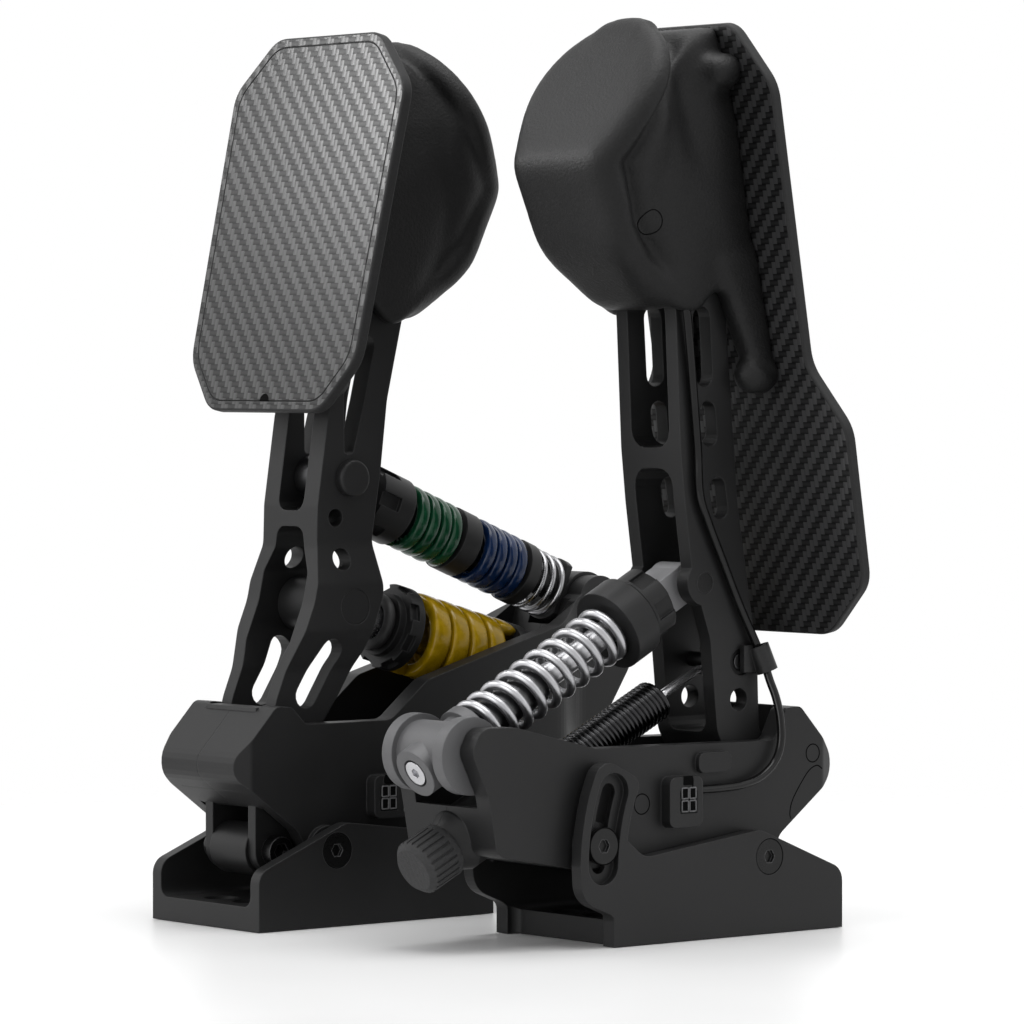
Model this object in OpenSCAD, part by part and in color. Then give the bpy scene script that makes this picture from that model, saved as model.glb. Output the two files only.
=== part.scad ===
// Pair of free-standing racing pedals: a brake with two spring stacks and a throttle with a damper.
// Each pedal is drawn in its own frame: X runs from the nose to the tail, Y across, Z up,
// with the origin under the middle of its base. The throttle stands turned half round beside the brake.

/* [Bases] */
// Length of each base
base_length = 100; // [92:1:110]
// Width of each base
base_width = 60; // [58:0.5:66]
// Thickness of the base floor
floor_thickness = 8; // [6:0.5:9]
// Thickness of the base side walls
wall_thickness = 4.7; // [4.2:0.1:5.5]
// Height of the side walls beside the tilt pivot
wall_height = 34.5; // [32:0.5:37]
// Height of the side walls at the nose end
wall_front_height = 19.5; // [17:0.5:23]
// Radius between the floor and the walls
channel_fillet = 3.5; // [1:0.5:5]
// Depth of the step in the floor's tail edge
floor_step = 4; // [2:0.5:8]
// Spacing of the mounting holes along the base
mount_spacing_x = 75; // [60:1:84]
// Spacing of the mounting holes across the base
mount_spacing_y = 16; // [14:1:24]
// Diameter of the mounting holes
mount_hole_d = 6.6; // [5:0.1:8]
// Diameter of the countersinks of the mounting holes
mount_sink_d = 12; // [10:0.5:13]

/* [Tilt setting] */
// Distance of the tilt pivot from the middle of the base, toward the nose
tilt_pivot_x = 17.3; // [15:0.1:20]
// Height of the tilt pivot
tilt_pivot_z = 25.4; // [25:0.1:27]
// Radius of the curved slot about the tilt pivot
slot_radius = 72; // [70:0.5:74]
// Lowest angle of the slot bolt
slot_low = 1; // [0:0.5:3]
// Highest angle of the slot bolt
slot_high = 20; // [18:0.5:22]
// Angle of the slot bolt as it stands
slot_now = 6; // [4:0.5:8]
// Half width of the upright tab that carries the slot
tab_half = 9.5; // [8.5:0.25:10.5]
// Diameter of the bolts that hold the bodies in the bases
bolt_d = 6; // [5:0.1:7]
// Diameter of the countersunk heads of those bolts
bolt_head_d = 12; // [10:0.5:13]
// Depth of the bolt heads
bolt_head_h = 2.4; // [1.5:0.1:3]

/* [Bodies] */
// Width of the pedal bodies
body_width = 46; // [45:0.5:47]
// Width of the channel between the two halves of a body
channel_width = 31.4; // [31.2:0.1:33]
// Width of the throttle body's tail
throttle_tail_width = 45; // [43:0.5:45.5]
// Width of the brake body's tail
brake_tail_width = 29; // [27:0.5:34]
// Chamfer on the upright edges of the nose
nose_chamfer = 4; // [2:0.5:6]
// Distance of the arm pivots from the middle of the base, toward the nose
arm_pivot_x = 34; // [33.5:0.1:34.5]
// Height of the arm pivots
arm_pivot_z = 53; // [52.5:0.1:53.5]
// Diameter of the arm pivot shafts
shaft_d = 10; // [8:0.5:11]
// Outer diameter of the pivot bearings
bearing_d = 16; // [14.5:0.5:18]
// Height that the connector pad stands off a body's side
pad_height = 4.5; // [3:0.5:5]
// Diameter of the spacer tube below the brake's nose
spacer_d = 17.5; // [14:0.5:19]

/* [Arms] */
// Width of the pedal arms
arm_width = 30; // [29:0.2:30.4]
// Thickness of an arm's side rails
rail_thickness = 5.5; // [5:0.1:5.8]
// Thickness of the brake arm's rails above the web
upper_rail_thickness = 8; // [7.5:0.1:8.3]
// Radius of an arm's hub
hub_radius = 10.5; // [9.5:0.1:10.8]

/* [Plates and pods] */
// Thickness of the pedal plates
plate_thickness = 4; // [3:0.25:5]
// Greatest width of the brake plate
brake_plate_width = 94.8; // [84:0.4:96]
// Height of the brake plate
brake_plate_height = 130.3; // [126:0.1:134]
// Backward lean of the brake plate
brake_lean = 12.4; // [11.5:0.1:13]
// Width of the throttle plate's upper part
throttle_plate_width = 76; // [70:0.5:84]
// Width of the throttle plate's flared foot
throttle_foot_width = 108; // [96:0.5:109]
// Height of the throttle plate
throttle_plate_height = 204.5; // [198:0.5:208]
// Backward lean of the throttle plate
throttle_lean = 9.5; // [9:0.1:10.5]
// Distance from a plate's front to the ridge of its pod
pod_depth = 67.8; // [66:0.1:69]
// Diameter of the slanted disc on a pod
pod_disc_d = 60.8; // [58:0.2:62]
// Slope of that disc
pod_slope = 47; // [45:0.5:49]
// Diameter of the shaker motor in a pod
motor_d = 24; // [20:0.5:25]

/* [Brake springs] */
// Outer diameter of the upper spring stack
upper_spring_d = 22.7; // [22:0.1:23]
// Outer diameter of the lower spring
lower_spring_d = 29; // [28:0.1:29.6]
// Diameter of the upper stack's guide tube
guide_d = 14; // [13:0.1:14.2]
// Diameter of the lower stack's rod
lower_rod_d = 12; // [10:0.1:12.5]
// Diameter of the barrel that the lower rod is fixed in
barrel_d = 19; // [17:0.1:19.5]

/* [Throttle damper] */
// Outer diameter of the damper spring
damper_spring_d = 20; // [19.6:0.1:20.4]
// Diameter of the damper's rod
damper_rod_d = 8.4; // [7.5:0.1:8.6]
// Diameter of the damper's cylinder
damper_cylinder_d = 12.4; // [12.2:0.1:12.6]
// Outer diameter of the helper spring
helper_spring_d = 14.4; // [13.6:0.1:14.8]
// Diameter of the preload knob
knob_d = 18.6; // [17.6:0.2:19.4]
// Diameter of the shaker's cable
cable_d = 2.8; // [2.4:0.1:2.8]

/* [Hidden] */

$fn = 64;

// Clearances: running fit on a shaft, gap between moving pieces, gap between pieces screwed together
fit = 0.05;
gap = 0.3;
seat_gap = 0.02;

base_half = base_width / 2;
wall_inner = base_half - wall_thickness;
body_half = body_width / 2;
boss_half = wall_inner - gap;
channel_half = channel_width / 2;
arm_half = arm_width / 2;
rail_inner = arm_half - rail_thickness;
tilt_pivot = [-tilt_pivot_x, tilt_pivot_z];
arm_pivot = [-arm_pivot_x, arm_pivot_z];
hub_clear = hub_radius + 0.9;

// Ends of the sprung links, as X and Z in each pedal's frame
upper_front = [0, 149.2];
upper_rear = [111, 104.2];
lower_front = [-1, 106];
lower_rear = [79, 82.9];
damper_front = [-2, 115.6];
damper_rear = [97, 63];
helper_front = [-18, 89];
helper_rear = [97, 32];
upper_length = norm(upper_rear - upper_front);
damper_length = norm(damper_rear - damper_front);
helper_length = norm(helper_rear - helper_front);

// Where a plate's front face starts, at its lower side corners
brake_plate_at = [-22.1, 189.6];
throttle_plate_at = [-28.9, 190.7];

// Place of the throttle beside the brake
throttle_at = [62, -108, 0];

// Colours
black_metal = [0.13, 0.13, 0.135];
grey_metal = [0.45, 0.45, 0.46];
polished = [0.8, 0.8, 0.8];
carbon = [0.2, 0.2, 0.21];
moulded = [0.16, 0.16, 0.165];
rubber = [0.06, 0.06, 0.06];

// Outline helpers

function unit(v) = v / norm(v);
function polar(centre, r, a) = [centre.x + r * cos(a), centre.y + r * sin(a)];
function turn_between(a, b) = (b - a + 540) % 360 - 180;

// Points of the arc that rounds the corner v between a and b
function corner_arc(a, v, b, r, n) =
    let (to_a = unit(a - v), to_b = unit(b - v))
    let (half = acos(max(-1, min(1, to_a * to_b))) / 2)
    let (reach = min(r / tan(half), norm(a - v) / 2, norm(b - v) / 2))
    let (radius = reach * tan(half), centre = v + unit(to_a + to_b) * radius / sin(half))
    let (from = v + to_a * reach - centre, to = v + to_b * reach - centre)
    let (start = atan2(from.y, from.x), sweep = turn_between(start, atan2(to.y, to.x)))
    [for (i = [0:n]) polar(centre, radius, start + sweep * i / n)];

// Outline through corners given as [x, y, radius]
function rounded(corners, n = 6) =
    let (count = len(corners))
    [for (i = [0:count - 1])
        let (c = corners[i], a = corners[(i + count - 1) % count], b = corners[(i + 1) % count])
        each c[2] > 0 ? corner_arc([a.x, a.y], [c.x, c.y], [b.x, b.y], c[2], n) : [[c.x, c.y]]];

// The same corners mirrored across the first axis, to close a symmetric outline
function both_sides(corners) =
    concat(corners, [for (i = [len(corners) - 1:-1:0]) [-corners[i].x, corners[i].y, corners[i][2]]]);

// Placing helpers

// Side outline in X and Z, between two values of Y
module slab(points, y0, y1) {
    translate([0, y1, 0]) rotate([90, 0, 0]) linear_extrude(y1 - y0) polygon(points);
}

// Cylinder across the pedal at a point of the side view
module cross_rod(at, d, y0, y1) {
    translate([at.x, y1, at.y]) rotate([90, 0, 0]) cylinder(d = d, h = y1 - y0);
}

// The same cylinder on both sides of the middle plane
module side_rods(at, d, y0, y1) {
    cross_rod(at, d, y0, y1);
    cross_rod(at, d, -y1, -y0);
}

// Long hole with round ends in the side view, right through a pedal
module long_hole(p, q, width) {
    lie = atan2(q.y - p.y, q.x - p.x);
    head = [for (i = [0:8]) polar(q, width / 2, lie - 90 + 22.5 * i)];
    foot = [for (i = [0:8]) polar(p, width / 2, lie + 90 + 22.5 * i)];
    slab(concat(head, foot), -base_half, base_half);
}

// Turns local Z onto the line from p to q of the side view
module along(p, q) {
    translate([p.x, 0, p.y]) rotate([0, atan2(q.x - p.x, q.y - p.y), 0]) children();
}

// Tube or disc on local Z
module ring(outer_d, inner_d, from, to) {
    translate([0, 0, from]) difference() {
        cylinder(d = outer_d, h = to - from);
        translate([0, 0, -1]) cylinder(d = inner_d, h = to - from + 2);
    }
}

// Part of a flat ring about the tilt pivot, with round ends
module slot_sector(width, y0, y1) {
    reach = slot_radius + tab_half * 2;
    quarter = (slot_high - slot_low) / 4;
    wedge = concat([tilt_pivot], [for (i = [0:4]) polar(tilt_pivot, reach, slot_low + quarter * i)]);
    intersection() {
        slab(wedge, y0, y1);
        difference() {
            cross_rod(tilt_pivot, 2 * slot_radius + width, y0, y1);
            cross_rod(tilt_pivot, 2 * slot_radius - width, y0 - 1, y1 + 1);
        }
    }
    cross_rod(polar(tilt_pivot, slot_radius, slot_low), width, y0, y1);
    cross_rod(polar(tilt_pivot, slot_radius, slot_high), width, y0, y1);
}

module on_throttle() {
    translate(throttle_at) rotate([0, 0, 180]) children();
}

// Turns a plate's own frame, X through it and Z up it, into a pedal's frame
module on_plate(at, lean) {
    translate([at.x, 0, at.y]) rotate([0, lean, 0]) children();
}

// Tubes

// Rings of a tube along a path: each point of the path gets a ring of the given section
function tube_rings(path, section) =
    let (last = len(path) - 1)
    [for (i = [0:last])
        let (t = unit(path[min(last, i + 1)] - path[max(0, i - 1)]))
        let (side = unit(cross(t, [0.13, 1, 0.11])), up = cross(side, t))
        [for (s = section) path[i] + side * s.x + up * s.y]];

// Rings of a coil's wire, with the section kept upright to the coil's axis
function coil_rings(path, section) =
    let (last = len(path) - 1)
    [for (i = [0:last])
        let (t = unit(path[min(last, i + 1)] - path[max(0, i - 1)]))
        let (out = unit(cross(t, [0, 0, 1])), up = cross(out, t))
        [for (s = section) path[i] + out * s.x + up * s.y]];

module tube(rings) {
    sides = len(rings[0]);
    last = len(rings) - 1;
    polyhedron(
        points = [for (r = rings) each r],
        faces = concat(
            [for (k = [1:sides - 2]) [0, k, k + 1]],
            [for (i = [0:last - 1], k = [0:sides - 1], half = [0, 1])
                let (a = i * sides + k, b = i * sides + (k + 1) % sides)
                half == 0 ? [a, a + sides, b + sides] : [a, b + sides, b]],
            [for (k = [1:sides - 2]) [last * sides, last * sides + k + 1, last * sides + k]]
        )
    );
}

function round_section(d, sides) =
    [for (k = [0:sides - 1]) [d / 2 * cos(360 * k / sides), d / 2 * sin(360 * k / sides)]];

// Six-sided section of a flat spring wire, wider along the coil than across it
function flat_section(across, along_coil) =
    let (x = across / 2, y = along_coil / 2)
    [[x, 0], [x * 0.8, y], [-x * 0.8, y], [-x, 0], [-x * 0.8, -y], [x * 0.8, -y]];

// Middle line of a compression spring: near-closed end turns and even turns between
steps_per_turn = 8;
end_gap = 0.55;

function coil_height(turn, turns, ends, wire, length) =
    let (end_pitch = wire + end_gap, free_turns = turns - 2 * ends)
    let (free_pitch = (length - wire - 2 * ends * end_pitch) / free_turns)
    wire / 2 + end_pitch * min(turn, ends) + free_pitch * max(0, min(turn - ends, free_turns))
        + end_pitch * max(0, turn - turns + ends);

function coil_path(radius, turns, ends, wire, length) =
    [for (i = [0:round(turns * steps_per_turn)])
        let (turn = i / steps_per_turn)
        [radius * cos(360 * turn), radius * sin(360 * turn), coil_height(turn, turns, ends, wire, length)]];

// Least distance between turns of a path, less the wire
function least_gap(path, wire) =
    min([for (i = [0:len(path) - 1], k = [-1:1])
        let (j = i + steps_per_turn + k)
        if (j < len(path)) norm(path[j] - path[i])]) - wire;

// Compression spring standing on local Z
module coil(name, outer_d, across, wire, turns, ends, from, to) {
    path = coil_path((outer_d - across) / 2, turns, ends, wire, to - from - 2 * gap);
    echo(str(name, " least gap ", least_gap(path, wire)));
    translate([0, 0, from + gap]) tube(coil_rings(path, flat_section(across, wire)));
}

// Bases

function wall_outline() =
    let (half = base_length / 2, out = slot_radius + tab_half, in = slot_radius - tab_half)
    let (foot = slot_low - 8, top = slot_high + 6.6)
    rounded(concat(
        [[-half, 0, 0], [half, 0, 0], [half, floor_thickness + 2, 3]],
        [concat(polar(tilt_pivot, out, foot), 9)],
        [for (a = [slot_low:4:slot_high]) concat(polar(tilt_pivot, out, a), 0)],
        [concat(polar(tilt_pivot, out, top), 8), concat(polar(tilt_pivot, in, top), 8)],
        [for (a = [slot_high:-4:slot_low + 7]) concat(polar(tilt_pivot, in, a), 0)],
        [concat(polar(tilt_pivot, in - 8, 3), 7), [-tilt_pivot_x + 4, wall_height, 9]],
        [[-half, wall_front_height, 6]]
    ));

module base() {
    channel = rounded([
        [-wall_inner, floor_thickness, channel_fillet], [wall_inner, floor_thickness, channel_fillet],
        [wall_inner, 200, 0], [-wall_inner, 200, 0]
    ]);
    step_half = wall_inner - 1;
    step = rounded([
        [base_length / 2 - floor_step, -step_half, 3], [base_length / 2 + 20, -step_half, 0],
        [base_length / 2 + 20, step_half, 0], [base_length / 2 - floor_step, step_half, 3]
    ]);
    difference() {
        slab(wall_outline(), -base_half, base_half);
        translate([-base_length, 0, 0]) rotate([90, 0, 90]) linear_extrude(3 * base_length) polygon(channel);
        translate([0, 0, -1]) linear_extrude(floor_thickness + 2) polygon(step);
        for (x = [-1, 1], y = [-1, 1])
            translate([x * mount_spacing_x / 2, y * mount_spacing_y / 2, 0]) mount_hole();
        side_rods(tilt_pivot, bolt_d + 2 * fit, wall_inner - 1, base_half + 1);
        side_rods(tilt_pivot, bolt_head_d + 2 * fit, base_half - bolt_head_h - fit, base_half + 1);
        for (side = [-1, 1]) scale([1, side, 1]) {
            slot_sector(bolt_d - 1 + 2 * gap, wall_inner - 1, base_half + 1);
            slot_sector(bolt_head_d + 2 * gap, base_half - bolt_head_h - gap, base_half + 1);
        }
    }
}

module mount_hole() {
    translate([0, 0, -1]) cylinder(d = mount_hole_d, h = floor_thickness + 2);
    translate([0, 0, floor_thickness - (mount_sink_d - mount_hole_d) / 2])
        cylinder(d1 = mount_hole_d, d2 = mount_sink_d + 2, h = (mount_sink_d - mount_hole_d) / 2 + 1);
}

module brake_base() {
    color(black_metal) base();
}

module throttle_base() {
    color(black_metal) on_throttle() base();
}

// Countersunk bolt pair across a pedal, with hexagon sockets in the heads
socket_across = 4;
bolt_inner_y = 17;

module bolt_pair(at, shank_d) {
    for (side = [-1, 1]) scale([1, side, 1]) difference() {
        union() {
            cross_rod(at, shank_d, bolt_inner_y, base_half - bolt_head_h + fit);
            cross_rod(at, bolt_head_d, base_half - bolt_head_h, base_half - 0.1);
        }
        translate([at.x, base_half + 1, at.y]) rotate([90, 0, 0])
            cylinder(d = socket_across / cos(30), h = bolt_head_h, $fn = 6);
    }
}

module tilt_bolts() {
    color(grey_metal) {
        bolt_pair(tilt_pivot, bolt_d);
        on_throttle() bolt_pair(tilt_pivot, bolt_d);
    }
}

slot_bolt_at = polar(tilt_pivot, slot_radius, slot_now);

module brake_slot_bolts() {
    color(grey_metal) bolt_pair(slot_bolt_at, bolt_d - 1);
}

module throttle_slot_bolts() {
    color(grey_metal) on_throttle() bolt_pair(slot_bolt_at, bolt_d - 1);
}

// Bodies

body_bottom = 17.5;
nose_top = [[-37.3, 74, 3.5], [-31, 73.5, 2.5]];
nose_front = [[-20, body_bottom, 5], [-28.5, 32, 6], [-56.8, 53.2, 7]];
ear_radius = 9.3;

brake_outline = rounded(concat(nose_top, [
    [-25, 67.5, 3], [11, 67.5, 6], [27, 80.5, 8], [64, 91, 8], [86, 97, 8],
    [upper_rear.x - 7, upper_rear.y + 4, 2], [upper_rear.x + 7, upper_rear.y + 4, 2],
    [126, 83, 9], [115, 66, 12], [62, 26, 20], [12, body_bottom, 10]
], nose_front));

throttle_outline = rounded(concat(nose_top, [
    [-25.5, 63, 3], [52, 63.8, 5], [damper_rear.x - 12, damper_rear.y + 9, 6],
    [damper_rear.x + 2, damper_rear.y + 9.3, 6], [damper_rear.x + 6, damper_rear.y + 1.5, 5],
    [damper_rear.x - 1, 50, 8], [92.5, 31, 5], [72, 27.5, 8], [58, 25, 6], [10, body_bottom, 10]
], nose_front));

// Plan outline as half width and place along the pedal: full at the body, drawn in at the tail
function plan_outline(tail_width, taper_from, taper_to) =
    let (tail = tail_width / 2)
    rounded(both_sides([
        [body_half - nose_chamfer, -70, 0], [body_half - nose_chamfer, -56, 0], [body_half, -47.6, 4],
        [body_half, taper_from, 12], [tail, taper_to, 12], [tail, 160, 0]
    ]), 4);

// Outline turned so that it lies along the pedal
function swap_axes(points) = [for (p = points) [p.y, p.x]];

// Middles of the connector sockets, and how far the raised pads reach from them
brake_socket = [6.6, 41];
throttle_socket = [16, 45];
brake_pad_lead = [6.1, 6.2];
brake_pad_reach = [15, 8.3];
throttle_pad_lead = [6.1, 8.3];
throttle_pad_reach = [8.1, 8.3];

// Raised pad with rounded corners on one side of a body

module side_pad(from, to, height, side) {
    r = 2.5;
    points = rounded([[from.x, from.y, r], [to.x, from.y, r], [to.x, to.y, r], [from.x, to.y, r]], 4);
    if (side > 0) slab(points, body_half - 1, body_half + height);
    else slab(points, -body_half - height, -body_half + 1);
}

// What both bodies share: shell, pivot bosses, connector pad, and the cuts for shaft and bearings
module body_shell(outline, plan) {
    intersection() {
        slab(outline, -body_half, body_half);
        translate([0, 0, -1]) linear_extrude(200) polygon(plan);
    }
    side_rods(tilt_pivot, bolt_d + 10, channel_half, boss_half);
    side_rods(slot_bolt_at, bolt_d + 9, channel_half, boss_half);
}

module body_cuts(socket, side) {
    cross_rod(arm_pivot, 2 * hub_clear, -channel_half, channel_half);
    side_rods(arm_pivot, bearing_d + seat_gap * 2, channel_half - 1, body_half - 1.5);
    side_rods(tilt_pivot, bolt_d + 2 * fit, bolt_inner_y - 0.5, base_half);
    side_rods(slot_bolt_at, bolt_d - 1 + 2 * seat_gap, bolt_inner_y - 0.5, base_half);
    slab(nose_pocket, -cheek_inner, cheek_inner);
    connector_cut(socket, side);
}

// Hollow between the cheeks, under the nose
cheek_inner = 17.2;
brake_ear_at = [-32, 25];
pocket_back = brake_ear_at.x + spacer_d / 2 + 0.5;
nose_pocket = concat(
    [[-60, 46], [-47, 46]],
    [for (a = [225:15:270]) polar(arm_pivot, hub_clear + 2.6, a)],
    [[pocket_back, arm_pivot_z - hub_clear - 2.6], [pocket_back, 10], [-60, 10]]
);

// Four-way socket, let into the connector pad
socket_size = [7.4, 7.4];
socket_depth = 4;
socket_floor = body_half + pad_height - socket_depth;
latch_size = [4.2, 3];

module socket_block(at, grow, depth) {
    for (part = [[at, socket_size], [[at.x, at.y + 6], latch_size]])
        translate([part[0].x - part[1].x / 2 - grow, 0, part[0].y - part[1].y / 2 - grow])
            cube([part[1].x + 2 * grow, depth, part[1].y + 2 * grow]);
}

module connector_cut(at, side) {
    scale([1, side, 1]) translate([0, socket_floor, 0]) socket_block(at, seat_gap, socket_depth + 1);
}

module connector(at) {
    pitch = 3;
    difference() {
        translate([0, socket_floor + seat_gap, 0]) socket_block(at, 0, socket_depth - 0.5);
        for (x = [-0.5, 0.5], z = [-0.5, 0.5])
            translate([at.x + x * pitch - 1.1, socket_floor + 1.5, at.y + z * pitch - 1.1])
                cube([2.2, 5, 2.2]);
    }
}

// Keeps one side of the middle plane, with a fine seam between the two halves
module half_of(side) {
    seam = 0.04;
    intersection() {
        children();
        translate([-300, side > 0 ? seam : -300, -50]) cube([600, 300 - seam, 400]);
    }
}

// Brake body

brake_plan = swap_axes(plan_outline(brake_tail_width, 88, 101));
throttle_plan = swap_axes(plan_outline(throttle_tail_width, 57, 84));

// Distances along the lower stack from its front pivot
lower_collar_from = 27;
lower_collar_to = 34.2;
lower_seat_at = 79.5;
seat_thickness = 4.5;
cell_thickness = 12;
cell_end = lower_seat_at + seat_thickness + cell_thickness + 2 * seat_gap;
lower_rod_end = 93;

// Distances along the upper stack from its front pivot
upper_collar_from = 18;
upper_collar_to = 32.3;
green_end = 57.2;
front_spacer_end = 64.6;
blue_end = 88.6;
rear_spacer_end = 93.2;
silver_end = 107.2;
eye_half = 7;
eye_radius = 10.5;

ear_tab_from = 10;
ear_tab_to = 14;

// Rubber strip in the nose's top edge: front lower corner in the side view, and size
rest_stop_at = [-39.3, 69.4];
rest_stop_size = [6.2, 28, 3.8];

module brake_body() {
    cell_back = lower_front + unit(lower_rear - lower_front) * cell_end;
    down = unit([lower_rear.y - lower_front.y, lower_front.x - lower_rear.x]);
    foot = cell_back + down * 17;
    head = cell_back - down * 30;
    difference() {
        union() {
            difference() {
                union() {
                    body_shell(brake_outline, brake_plan);
                    cross_rod(upper_rear, 2 * ear_radius, -brake_tail_width / 2, brake_tail_width / 2);
                    side_pad(brake_socket - brake_pad_lead, brake_socket + brake_pad_reach, pad_height, -1);
                }
                body_cuts(brake_socket, -1);
                slab([[-35, 120], [-35, arm_pivot_z], [-arm_pivot_x, arm_pivot_z - hub_clear], [24, 41.6],
                    foot, head, [head.x, 120]], -channel_half, channel_half);
                translate([rest_stop_at.x - 0.1, -rest_stop_size.y / 2 - 0.2, rest_stop_at.y - 0.1])
                    cube([rest_stop_size.x + 4, rest_stop_size.y + 0.4, 20]);
            }
            for (side = [-1, 1]) scale([1, side, 1]) ear_tab();
        }
        cross_rod(brake_ear_at, bolt_d + 2 * seat_gap, -30, 30);
        along(lower_front, lower_rear) translate([0, 0, cell_end - 5]) cylinder(d = lower_rod_d + 4, h = 15);
        along(upper_front, upper_rear) {
            translate([0, 0, 84]) cylinder(d = upper_spring_d + 2, h = 25);
            translate([-eye_radius - 2, -eye_half - gap, 96])
                cube([2 * eye_radius + 4, 2 * (eye_half + gap), 40]);
        }
        cross_rod(upper_rear, tail_pin_d + 2 * seat_gap, -30, 30);
    }
}

module ear_tab() {
    r = 7.5;
    x = brake_ear_at.x;
    z = brake_ear_at.y;
    slab([[x - r, 42], [x + r, 41], [x + r, z], [x - r, z]], ear_tab_from, ear_tab_to);
    cross_rod(brake_ear_at, 2 * r, ear_tab_from, ear_tab_to);
}

module brake_body_left() {
    color(black_metal) half_of(1) brake_body();
}

module brake_body_right() {
    color(black_metal) half_of(-1) brake_body();
}

module bearing_pair() {
    for (side = [-1, 1]) scale([1, side, 1])
        translate([arm_pivot.x, channel_half + gap / 2, arm_pivot.y]) rotate([-90, 0, 0])
            ring(bearing_d, shaft_d + 2 * fit, 0, body_half - 1.5 - channel_half - gap);
}

module brake_bearings() {
    color(polished) bearing_pair();
}

module brake_rest_stop() {
    color(rubber) translate([rest_stop_at.x, -rest_stop_size.y / 2, rest_stop_at.y]) cube(rest_stop_size);
}

module brake_spacer() {
    color(grey_metal) translate([brake_ear_at.x, 0, brake_ear_at.y]) rotate([90, 0, 0])
        ring(spacer_d, bolt_d + 2 * fit, -ear_tab_from + seat_gap, ear_tab_from - seat_gap);
}

module brake_spacer_bolt() {
    head = ear_tab_to + seat_gap;
    color(black_metal) difference() {
        union() {
            cross_rod(brake_ear_at, bolt_d, -head - 1, head + 1);
            side_rods(brake_ear_at, bolt_d + 4, head, head + 4.5);
        }
        translate([brake_ear_at.x, -head - 2, brake_ear_at.y]) rotate([90, 0, 0])
            cylinder(d = (bolt_d - 1) / cos(30), h = 6, $fn = 6);
    }
}

module brake_connector() {
    color(moulded) mirror([0, 1, 0]) connector(brake_socket);
}

module lower_seat() {
    color(black_metal) along(lower_front, lower_rear)
        ring(lower_spring_d, lower_rod_d + 3, lower_seat_at, lower_seat_at + seat_thickness);
}

module brake_load_cell() {
    color(polished) along(lower_front, lower_rear)
        translate([0, 0, cell_end - seat_gap]) ring(lower_spring_d - 3, lower_rod_d + 3.5, -cell_thickness, 0);
}

module yellow_spring() {
    color([0.85, 0.75, 0.05]) along(lower_front, lower_rear)
        coil("yellow_spring", lower_spring_d, 4.6, 6.2, 4.6, 1, lower_collar_to, lower_seat_at);
}

tail_pin_d = 8;

module upper_tail_pin() {
    color(grey_metal) cross_rod(upper_rear, tail_pin_d, -brake_tail_width / 2 - 1, brake_tail_width / 2 + 1);
}

// Brake arm

brake_arm_outline = rounded([
    [arm_pivot.x, arm_pivot.y + hub_radius, 0], [-31.6, 75, 20], [-23.5, 95, 25], [-18.3, 107.6, 25],
    [-14.4, 126, 12], [-14, 140, 15], [-9.5, 170, 20], [3.9, 231, 6],
    [27.6, 226, 6], [15.6, 175.5, 30], [12.6, 150, 25], [9, 128, 15], [11.2, 110, 12],
    [4, 91, 15], [-5, 76.8, 20], [arm_pivot.x + hub_radius, arm_pivot.y - 2, 0], [arm_pivot.x, arm_pivot.y, 0]
]);

barrel_journal_d = 12;
arm_pin_d = 9;

// Shape from front to back through an arm, given as half widths and heights
module front_shape(corners) {
    translate([-100, 0, 0]) rotate([90, 0, 90]) linear_extrude(200) polygon(rounded(both_sides(corners), 4));
}

// Slots of the brake arm: the lower one widens round the barrel, where the rails stand out
brake_web_from = 133;
brake_web_to = 138.3;
upper_slot_half = arm_half - upper_rail_thickness;
barrel_slot_half = rail_inner + 2.8;
bulge_half = arm_half + 4;
slot_foot = arm_pivot_z + hub_radius + 2.5;

module brake_arm() {
    z = lower_front.y;
    color(black_metal) difference() {
        union() {
            intersection() {
                slab(brake_arm_outline, -bulge_half - 1, bulge_half + 1);
                front_shape([[arm_half, 30, 0], [arm_half, z - 21, 12], [bulge_half, z - 8, 8],
                    [bulge_half, z + 8, 8], [arm_half, z + 21, 12], [arm_half, 250, 0]]);
            }
            cross_rod(arm_pivot, 2 * hub_radius, -arm_half, arm_half);
        }
        front_shape([[rail_inner, slot_foot, 4], [rail_inner, z - 20, 10], [barrel_slot_half, z - 11.5, 4],
            [barrel_slot_half, z + 11.5, 4], [upper_slot_half + 1, z + 20, 8],
            [upper_slot_half, brake_web_from, 5.5]]);
        front_shape([[upper_slot_half, brake_web_to, 4.2], [upper_slot_half, 197, 4.2]]);
        slab(rounded([[-2.7, 157, 1.5], [1, 157.5, 1.5], [6, 176, 8], [11, 197, 4], [2.5, 199, 4],
            [-2.9, 177, 8]]), -base_half, base_half);
        long_hole([-9.7, 91.2], [-19, 76.5], 8.6);
        cross_rod([-6.5, 136], 6, -20, 20);
        cross_rod([-5, 122], 7.5, -20, 20);
        cross_rod(upper_front, arm_pin_d + 2 * seat_gap, -20, 20);
        cross_rod(lower_front, barrel_journal_d + 2 * fit, -20, 20);
        cross_rod(arm_pivot, shaft_d + 2 * seat_gap, -20, 20);
    }
}

module shaft() {
    color(polished) cross_rod(arm_pivot, shaft_d, -body_half + 1.8, body_half - 1.8);
}

module brake_shaft() {
    shaft();
}

// Outline of the plate in its own frame: half width and height at each corner
brake_plate_outline = rounded(both_sides([
    [brake_plate_width / 2 - 16.4, -18, 5], [brake_plate_width / 2 - 1.4, -0.5, 5],
    [brake_plate_width / 2, brake_plate_height - 36.8, 6],
    [brake_plate_width / 2 - 18.9, brake_plate_height - 18, 6]
]));

module plate(points) {
    rotate([90, 0, 90]) linear_extrude(plate_thickness) polygon(points);
}

module brake_plate() {
    color(carbon) on_plate(brake_plate_at, brake_lean) plate(brake_plate_outline);
}

// Pods

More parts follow.
